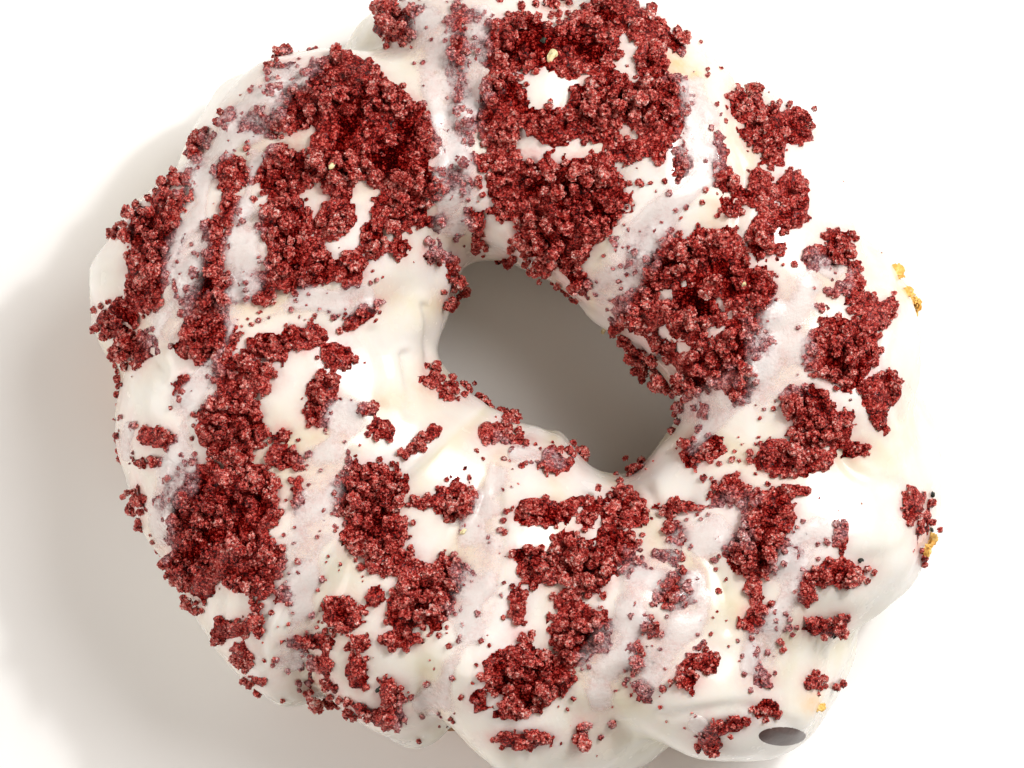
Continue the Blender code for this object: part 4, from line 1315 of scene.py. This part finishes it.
def bits(name, spots, shapes, flatness, rise):
    places = []
    for x, y, size in spots:
        spot, up = on_coat(x, y, rise)
        hit = heights(x, y)[1]
        if hit is not None:
            spot[2] = min(max(spot[2], hit + 0.1), TOP_LIMIT)
        turns = (draw.uniform(-0.5, 0.5), draw.uniform(-0.5, 0.5), draw.uniform(0.0, 6.0))
        places.append((spot, up, size, turns, draw.uniform(), int(draw.integers(len(shapes)))))
    flat_shapes = [(points * (1.0, 0.8, flatness), faces) for points, faces in shapes]
    return joined_copies(name, flat_shapes, places)


flakes = bits("gold_flakes", FLAKES, clumps[:LARGE_KINDS], 0.5, 0.2)
specks = bits("burnt_specks", SPECKS, loose[:4], 0.6, 0.15)
cream = bits("cream_bits", CREAM_BITS, loose[:4], 0.8, 0.4)
for piece in (flakes, specks, cream):
    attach(piece, "root")


# %% A dark patch of painted shade
PATCH = (30.4, -40.5, 3.1, 1.25, -3.0)
PATCH_RISE = 0.10


def painted_shade_patch():
    """A smooth dark oval of painted shade at the icing's lower edge, laid on the coat as a very low dome."""
    start_clean()
    bpy.ops.mesh.primitive_grid_add(x_subdivisions=48, y_subdivisions=24, size=2.0 * MM)
    patch = rename("painted_shade_patch")
    u, v, _ = points_of(patch).T
    x = u * np.sqrt(1.0 - v * v / 2.0)
    y = v * np.sqrt(1.0 - u * u / 2.0)
    turn = math.radians(PATCH[4])
    along = x * PATCH[2]
    aside = y * PATCH[3]
    rise = PATCH_RISE * (1.0 - (x * x + y * y)) - 0.02
    points = []
    for a, b, high in zip(along, aside, rise):
        spot, normal = coat_under(PATCH[0] + a * math.cos(turn) - b * math.sin(turn),
                                  PATCH[1] + a * math.sin(turn) + b * math.cos(turn))
        points.append(spot + normal * high)
    place_points(patch, kept_in_box(np.array(points)))
    bpy.ops.object.shade_smooth()
    print("bare patch at", np.round(points[len(points) // 2], 1))
    return patch


patch = painted_shade_patch()
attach(patch, "root")

# %% [markdown]
# ## What the icing's colour depends on
#
# Wet crumbs bleed a little pink into the icing round them, and a few gold stains lie on it. Both are
# worked out here for each point of the coat and stored on it. The grooves, where the icing lies thick,
# get a greenish painted shade, read from the depth stored when the coat was shaped.

# %% Blush and depth of the icing
GOLD_STAINS = ((18.4, 35.7, 1.7), (20.3, 34.6, 1.2), (33.8, -36.8, 1.3), (44.6, 10.4, 1.6))
coat_points = points_of(icing) - BOX_SHIFT
blush = np.zeros(len(coat_points))
for drift in DRIFTS:
    out = (inside(coat_points[:, 0], coat_points[:, 1], drift) - 1.0) * math.sqrt(drift[2] * drift[3])
    blush = np.maximum(blush, np.exp(-np.clip(out, 0.0, None) / 0.95))
wash = np.clip((1.9 - glaze_away(coat_points[:, 0], coat_points[:, 1])) / 1.4, 0.0, 1.0)
blush = np.maximum(blush, wash * 0.42) * np.clip((coat_points[:, 2] - 13.0) / 12.0, 0.0, 1.0)
add_number(icing, "blush", blush)
gold = np.zeros(len(coat_points))
for x, y, size in GOLD_STAINS:
    gold = np.maximum(gold, np.exp(-(np.hypot(coat_points[:, 0] - x, coat_points[:, 1] - y) / size) ** 2))
add_number(icing, "gold", gold * (coat_points[:, 2] > 8.0))
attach(icing, "root")
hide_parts("white_icing")
print("blush on", int((blush > 0.3).sum()), "points")

# %% [markdown]
# ## Materials
#
# Every finish is a Principled shader fed by noise at a real size. Colours are the sRGB values that the
# eye reads off the food, turned to linear light by one function.


# %% Colour and node helpers
def linear(code):
    """Linear colour of an sRGB hex value."""
    values = [int(code[i:i + 2], 16) / 255.0 for i in (1, 3, 5)]
    return tuple(v / 12.92 if v <= 0.04045 else ((v + 0.055) / 1.055) ** 2.4 for v in values) + (1.0,)


def marks(size_mm):
    """Scale of a pattern whose marks are that many millimetres across."""
    return 1.0 / (size_mm * MM)


def add_node(tree, kind, *inputs, output=None, stops=(), **settings):
    """Adds a node and gives back its first output, or the output that is named.

    Inputs fill the open sockets in order. Settings are properties of the node or, by name, sockets. A
    value is a number, an sRGB hex code or the output of another node. Stops belong to a colour ramp.
    """
    node = tree.nodes.new("ShaderNode" + kind)
    named = []
    for name, value in settings.items():
        if hasattr(node, name):
            setattr(node, name, value)
        else:
            named.append((node.inputs[name.replace("_", " ")], value))
    in_order = zip([socket for socket in node.inputs if socket.enabled], inputs)
    for socket, value in [*in_order, *named]:
        if isinstance(value, bpy.types.NodeSocket):
            tree.links.new(value, socket)
        else:
            socket.default_value = linear(value) if isinstance(value, str) else value
    for _ in stops[2:]:
        node.color_ramp.elements.new(0.5)
    for i, (position, colour) in enumerate(stops):
        node.color_ramp.elements[i].position = position
        node.color_ramp.elements[i].color = linear(colour)
    if output:
        return node.outputs[output]
    return next((socket for socket in node.outputs if socket.enabled), None)


def new_material(name):
    """An empty material, the function that adds nodes to it, and its Object coordinates."""
    material = bpy.data.materials.new(name)
    material.use_nodes = True
    material.node_tree.nodes.clear()
    add = partial(add_node, material.node_tree)
    return material, add, add("TexCoord", output="Object")


def dress(piece, material):
    piece.data.materials.clear()
    piece.data.materials.append(material)


# %% Poured sugar icing
def poured_sugar_icing():
    """Glossy ivory fondant: light goes a little way in, and painted shade makes the thick icing in the
    grooves greener and darker.
    """
    material, add, coordinates = new_material("poured_sugar_icing")
    clouds = add("TexNoise", coordinates, marks(14.0), 2.0, 0.55)
    colour = add("ValToRGB", clouds, stops=((0.38, "#ECE9E3"), (0.62, "#E5E0D5")))
    # Painted shade: the grooves, where the icing lies thick, are mixed in patches towards a darker greenish
    # ivory.
    shade_patches = add("TexNoise", coordinates, marks(5.0), 3.0, 0.55)
    shade_patches = add("Math", shade_patches, 2.0, -0.45, operation="MULTIPLY_ADD")
    groove = add("Math", add("Attribute", attribute_name="depth", output="Fac"), 0.85, operation="MULTIPLY")
    groove_shade = add("Math", groove, shade_patches, operation="MULTIPLY")
    colour = add("Mix", groove_shade, colour, "#DAD2AE", data_type="RGBA")
    for stain, size_mm, detail, roughness, strength, tint in (
        ("blush", 1.1, 5.0, 0.7, 1.25, "#D99A95"),
        ("gold", 0.9, 4.0, 0.6, 1.10, "#E9B469"),
    ):
        soak = add("TexNoise", coordinates, marks(size_mm), detail, roughness)
        soak = add("Math", add("Attribute", attribute_name=stain, output="Fac"), soak, operation="MULTIPLY")
        soak = add("Math", soak, strength, operation="MULTIPLY")
        colour = add("Mix", soak, colour, tint, data_type="RGBA")
    waves = add("TexNoise", coordinates, marks(2.2), 3.0, 0.55)
    gloss = add("TexNoise", coordinates, marks(3.0), 3.0, 0.55)
    gloss = add("Math", gloss, 0.22, 0.14, operation="MULTIPLY_ADD")
    add("OutputMaterial", add(
        "BsdfPrincipled", Base_Color=colour, Roughness=gloss, IOR=1.46,
        Normal=add("Bump", Height=waves, Strength=0.18, Distance=0.22 * MM),
        Subsurface_Weight=0.22, Subsurface_Radius=(1.0, 0.75, 0.5), Subsurface_Scale=1.8 * MM,
        Coat_Weight=0.25, Coat_Roughness=0.12,
    ))
    return material


# %% Moist red cake
def shaken(add, coordinates, size_mm, amount_mm):
    """Coordinates shifted unevenly, so that cells made from them are not round."""
    shift = add("TexNoise", coordinates, marks(size_mm), 2.0, output="Color")
    shift = add("VectorMath", shift, amount_mm * MM, operation="SCALE")
    return add("VectorMath", coordinates, shift, operation="ADD")


def granules(add, coordinates, size_mm):
    """Height of packed grains that size, 1 on top of each, and a random value for each grain."""
    distance = add("TexVoronoi", coordinates, marks(size_mm))
    height = add("Math", 1.0, add("Math", distance, 1.35, operation="MULTIPLY"), operation="SUBTRACT")
    return height, add("SeparateColor", distance.node.outputs["Color"])


def moist_red_cake():
    """Torn cake crumb of moist grains, with painted light on the grain tops and the clumps' outer sides,
    painted near-black shade between them, and small glints, partly gloss and partly painted.
    """
    material, add, coordinates = new_material("moist_red_cake")
    tone_and_shade, painted_light_value, glazed = [
        add("Attribute", attribute_name=name, output="Fac") for name in ("tone_and_shade", "open", "glazed")
    ]
    uneven = shaken(add, coordinates, 0.35, 0.3)
    coarse, own = granules(add, uneven, 0.36)
    fine, own_fine = granules(add, uneven, 0.16)
    clouds = add("TexNoise", coordinates, marks(1.3), 3.0, 0.55)
    # Painted light and shade: the grain tops, the clumps' outer and upper sides and the peaks of the piles
    # come out lighter, and the spaces between grains near black.
    value = 0.0
    for part, weight in (
        (coarse, 0.28), (fine, 0.18), (own_fine, 0.22), (own, 0.20), (clouds, 0.44), (painted_light_value, 0.32),
        (tone_and_shade, 0.20),
    ):
        value = add("Math", part, weight, value, operation="MULTIPLY_ADD")
    value = add("Math", value, 1.20, -0.385, operation="MULTIPLY_ADD")
    # The lightest stop is a painted glint.
    colour = add("ValToRGB", value, stops=(
        (0.12, "#2C0203"), (0.32, "#7C0E0A"), (0.54, "#C63F37"), (0.76, "#F0897C"), (0.96, "#FFD6CC"),
    ))
    patchy = add("TexNoise", coordinates, marks(0.7), 4.0, 0.65)
    patchy = add("Math", patchy, 2.4, -0.75, operation="MULTIPLY_ADD")
    film = add("Clamp", add("Math", glazed, patchy, operation="MULTIPLY"))
    # Under the glaze the grain tops are painted lighter too.
    milky = add("Math", coarse, 0.5, add("Math", own, 0.5, operation="MULTIPLY"), operation="MULTIPLY_ADD")
    milky = add("ValToRGB", milky, stops=((0.20, "#B98388"), (0.50, "#DCC0C2"), (0.80, "#F0E4E5")))
    colour = add("Mix", add("Math", film, 0.88, operation="MULTIPLY"), colour, milky, data_type="RGBA")
    gloss = add("Math", own_fine, 0.5, 0.18, operation="MULTIPLY_ADD")
    gloss = add("Math", film, -0.12, gloss, operation="MULTIPLY_ADD")
    shine = add("Math", painted_light_value, 0.5, 0.05, operation="MULTIPLY_ADD")
    grain = add("Bump", Height=fine, Strength=1.0, Distance=0.12 * MM)
    add("OutputMaterial", add(
        "BsdfPrincipled", Base_Color=colour, Roughness=gloss, IOR=1.42, Specular_IOR_Level=shine,
        Normal=add("Bump", Height=coarse, Normal=grain, Strength=1.0, Distance=0.24 * MM),
        Coat_Weight=add("Math", shine, 0.5, operation="MULTIPLY"), Coat_Roughness=0.14,
    ))
    return material


# %% Thin milk glaze
def thin_milk_glaze():
    """Milk and sugar glaze: a wet lilac-white film, thinning out to nothing and stained over the crumbs."""
    material, add, coordinates = new_material("thin_milk_glaze")
    thick, cover, stained, on_crumb = [
        add("Attribute", attribute_name=name, output="Fac")
        for name in ("thick", "cover", "stain", "on_crumb")
    ]
    milk = add("TexNoise", coordinates, marks(1.8), 4.0, 0.6)
    colour = add("ValToRGB", milk, stops=((0.30, "#E3D3D1"), (0.50, "#EEE4E2"), (0.70, "#F8F3F1")))
    soaked = add("MapRange", add("TexNoise", coordinates, marks(0.9), 5.0, 0.7), 0.44, 0.66, 0.0, 0.8)
    colour = add("Mix", soaked, colour, "#D9AEAA", data_type="RGBA")
    white = add("MapRange", thick, 0.7, 1.4, 0.0, 0.7)
    colour = add("Mix", white, colour, "#F1ECE8", data_type="RGBA")
    grains, own = granules(add, shaken(add, coordinates, 0.5, 0.3), 0.42)
    stain = add("Math", grains, 0.9, -0.12, operation="MULTIPLY_ADD")
    stain = add("Math", stained, stain, operation="MULTIPLY")
    colour = add("Mix", stain, colour, "#B5605C", data_type="RGBA")
    frayed = add("TexNoise", coordinates, marks(0.8), 6.0, 0.75)
    frayed = add("Math", frayed, 2.6, -1.42, operation="MULTIPLY_ADD")
    frayed = add("Math", thick, 1.15, frayed, operation="MULTIPLY_ADD")
    holes = add("Math", stained, add("Math", own, 0.45, operation="MULTIPLY"), operation="MULTIPLY")
    seen = add("Math", frayed, holes, operation="SUBTRACT")
    seen = add("MapRange", seen, 0.0, 1.15, 0.0, 0.92, interpolation_type="SMOOTHSTEP")
    rim = add("MapRange", cover, 0.10, 1.00, interpolation_type="SMOOTHSTEP")
    denser = add("Math", on_crumb, 0.24, 0.76, operation="MULTIPLY_ADD")
    for share in (rim, denser):
        seen = add("Math", seen, share, operation="MULTIPLY")
    ripple = add("TexNoise", coordinates, marks(0.38), 4.0, 0.65)
    ripple = add("Bump", Height=ripple, Strength=0.7, Distance=0.12 * MM)
    lumps = add("Math", grains, stained, operation="MULTIPLY")
    gloss = add("TexNoise", coordinates, marks(0.8), 3.0, 0.55)
    gloss = add("Math", gloss, 0.4, 0.04, operation="MULTIPLY_ADD")
    add("OutputMaterial", add(
        "BsdfPrincipled", Base_Color=colour, Roughness=gloss, IOR=1.42, Alpha=seen,
        Normal=add("Bump", Height=lumps, Normal=ripple, Strength=0.8, Distance=0.14 * MM),
        Subsurface_Weight=0.15, Subsurface_Radius=(1.0, 0.8, 0.8), Subsurface_Scale=0.5 * MM,
        Coat_Weight=0.5, Coat_Roughness=0.08,
    ))
    return material


# %% Fried crust, flakes and specks
def fried_crust(name, dark, middle, light, size_mm, blistered, roughness):
    """Fried dough: dry, blistered and browned unevenly."""
    material, add, coordinates = new_material(name)
    browned = add("TexNoise", coordinates, marks(size_mm), 5.0, 0.6)
    colour = add("ValToRGB", browned, stops=((0.34, dark), (0.52, middle), (0.70, light)))
    blisters = add("TexNoise", coordinates, marks(0.6), 4.0, 0.6)
    add("OutputMaterial", add(
        "BsdfPrincipled", Base_Color=colour, Roughness=roughness, IOR=1.45,
        Normal=add("Bump", Height=blisters, Strength=blistered, Distance=0.18 * MM),
    ))
    return material


# %% Dressing the pieces
dress(icing, poured_sugar_icing())
dress(milk_glaze, thin_milk_glaze())
cake = moist_red_cake()
for piece in crumb_pieces:
    dress(piece, cake)
for piece, name, dark, middle, light, size_mm, blistered, roughness in (
    (fried_dough, "fried_crust", "#8A5426", "#B67A3C", "#D5A263", 2.4, 0.7, 0.6),
    (flakes, "golden_crust", "#D9963C", "#EDBE62", "#F6DA9C", 0.6, 0.7, 0.6),
    (specks, "burnt_sugar", "#14160F", "#262A1E", "#3E4030", 0.5, 0.7, 0.6),
    (cream, "cream_sugar", "#D8C48E", "#EBDCAA", "#F6EDC8", 0.5, 0.7, 0.6),
    # Painted shade: a dark sheet at the icing's lower edge.
    (patch, "dark_painted_shade", "#3B231E", "#4E3530", "#6E5A54", 3.0, 0.1, 0.35),
):
    dress(piece, fried_crust(name, dark, middle, light, size_mm, blistered, roughness))
print("materials:", [m.name for m in bpy.data.materials if m.users])

# %% [markdown]
# ## Ground, light and camera
#
# The doughnut stands on a plain pale ground under a large soft light from the upper right, with
# white all round to fill the shadows. The camera looks straight down through a long lens.

# %% Ground
start_clean()
bpy.ops.mesh.primitive_plane_add(size=3.0)
table = rename("pale_table")
material, add, coordinates = new_material("matt_white_board")
board = add("TexNoise", coordinates, marks(60.0), 2.0, 0.55)
board = add("ValToRGB", board, stops=((0.4, "#F8F7F5"), (0.6, "#FCFBF9")))
add("OutputMaterial", add("BsdfPrincipled", Base_Color=board, Roughness=0.7))
dress(table, material)


# %% Light
def soft_light(name, place, size, power, colour):
    bpy.ops.object.light_add(type="AREA", location=place)
    lamp = rename(name)
    lamp.data.shape = "DISK"
    lamp.data.size = size
    lamp.data.energy = power
    lamp.data.color = colour
    lamp.rotation_euler = (Vector((0.0, 0.0, 0.02)) - Vector(place)).to_track_quat("-Z", "Y").to_euler()


soft_light("window", (0.36, 0.26, 0.50), 0.50, 4.30, (1.0, 0.99, 0.98))
soft_light("glint", (0.30, 0.27, 0.52), 0.05, 1.5, (1.0, 1.0, 1.0))
soft_light("fill", (-0.42, -0.12, 0.30), 0.50, 1.9, (1.0, 0.97, 0.94))
world = bpy.data.worlds.new("white_room")
bpy.context.scene.world = world
world.use_nodes = True
world.node_tree.nodes["Background"].inputs["Color"].default_value = (1.0, 0.81, 0.64, 1.0)
world.node_tree.nodes["Background"].inputs["Strength"].default_value = 0.14
bpy.context.scene.view_settings.view_transform = "Standard"
bpy.context.scene.view_settings.look = "None"

# %% Camera
PIXEL = 0.114
PHOTO_SIZE = (1024, 768)
RING_MIDDLE = (515, 380)
SEEN_AT = 19.0
DISTANCE = 1700.0
SENSOR = 36.0

bpy.ops.object.camera_add(location=(
    ((PHOTO_SIZE[0] / 2 - RING_MIDDLE[0]) * PIXEL + BOX_SHIFT[0]) * MM,
    ((RING_MIDDLE[1] - PHOTO_SIZE[1] / 2) * PIXEL + BOX_SHIFT[1]) * MM,
    (SEEN_AT + DISTANCE) * MM,
))
camera = rename("camera")
camera.rotation_euler = (0.0, 0.0, 0.0)
camera.data.sensor_width = SENSOR
camera.data.lens = SENSOR * DISTANCE / (PHOTO_SIZE[0] * PIXEL)
camera.data.clip_end = 10.0
bpy.context.scene.camera = camera
print("lens", round(camera.data.lens, 1), "mm")
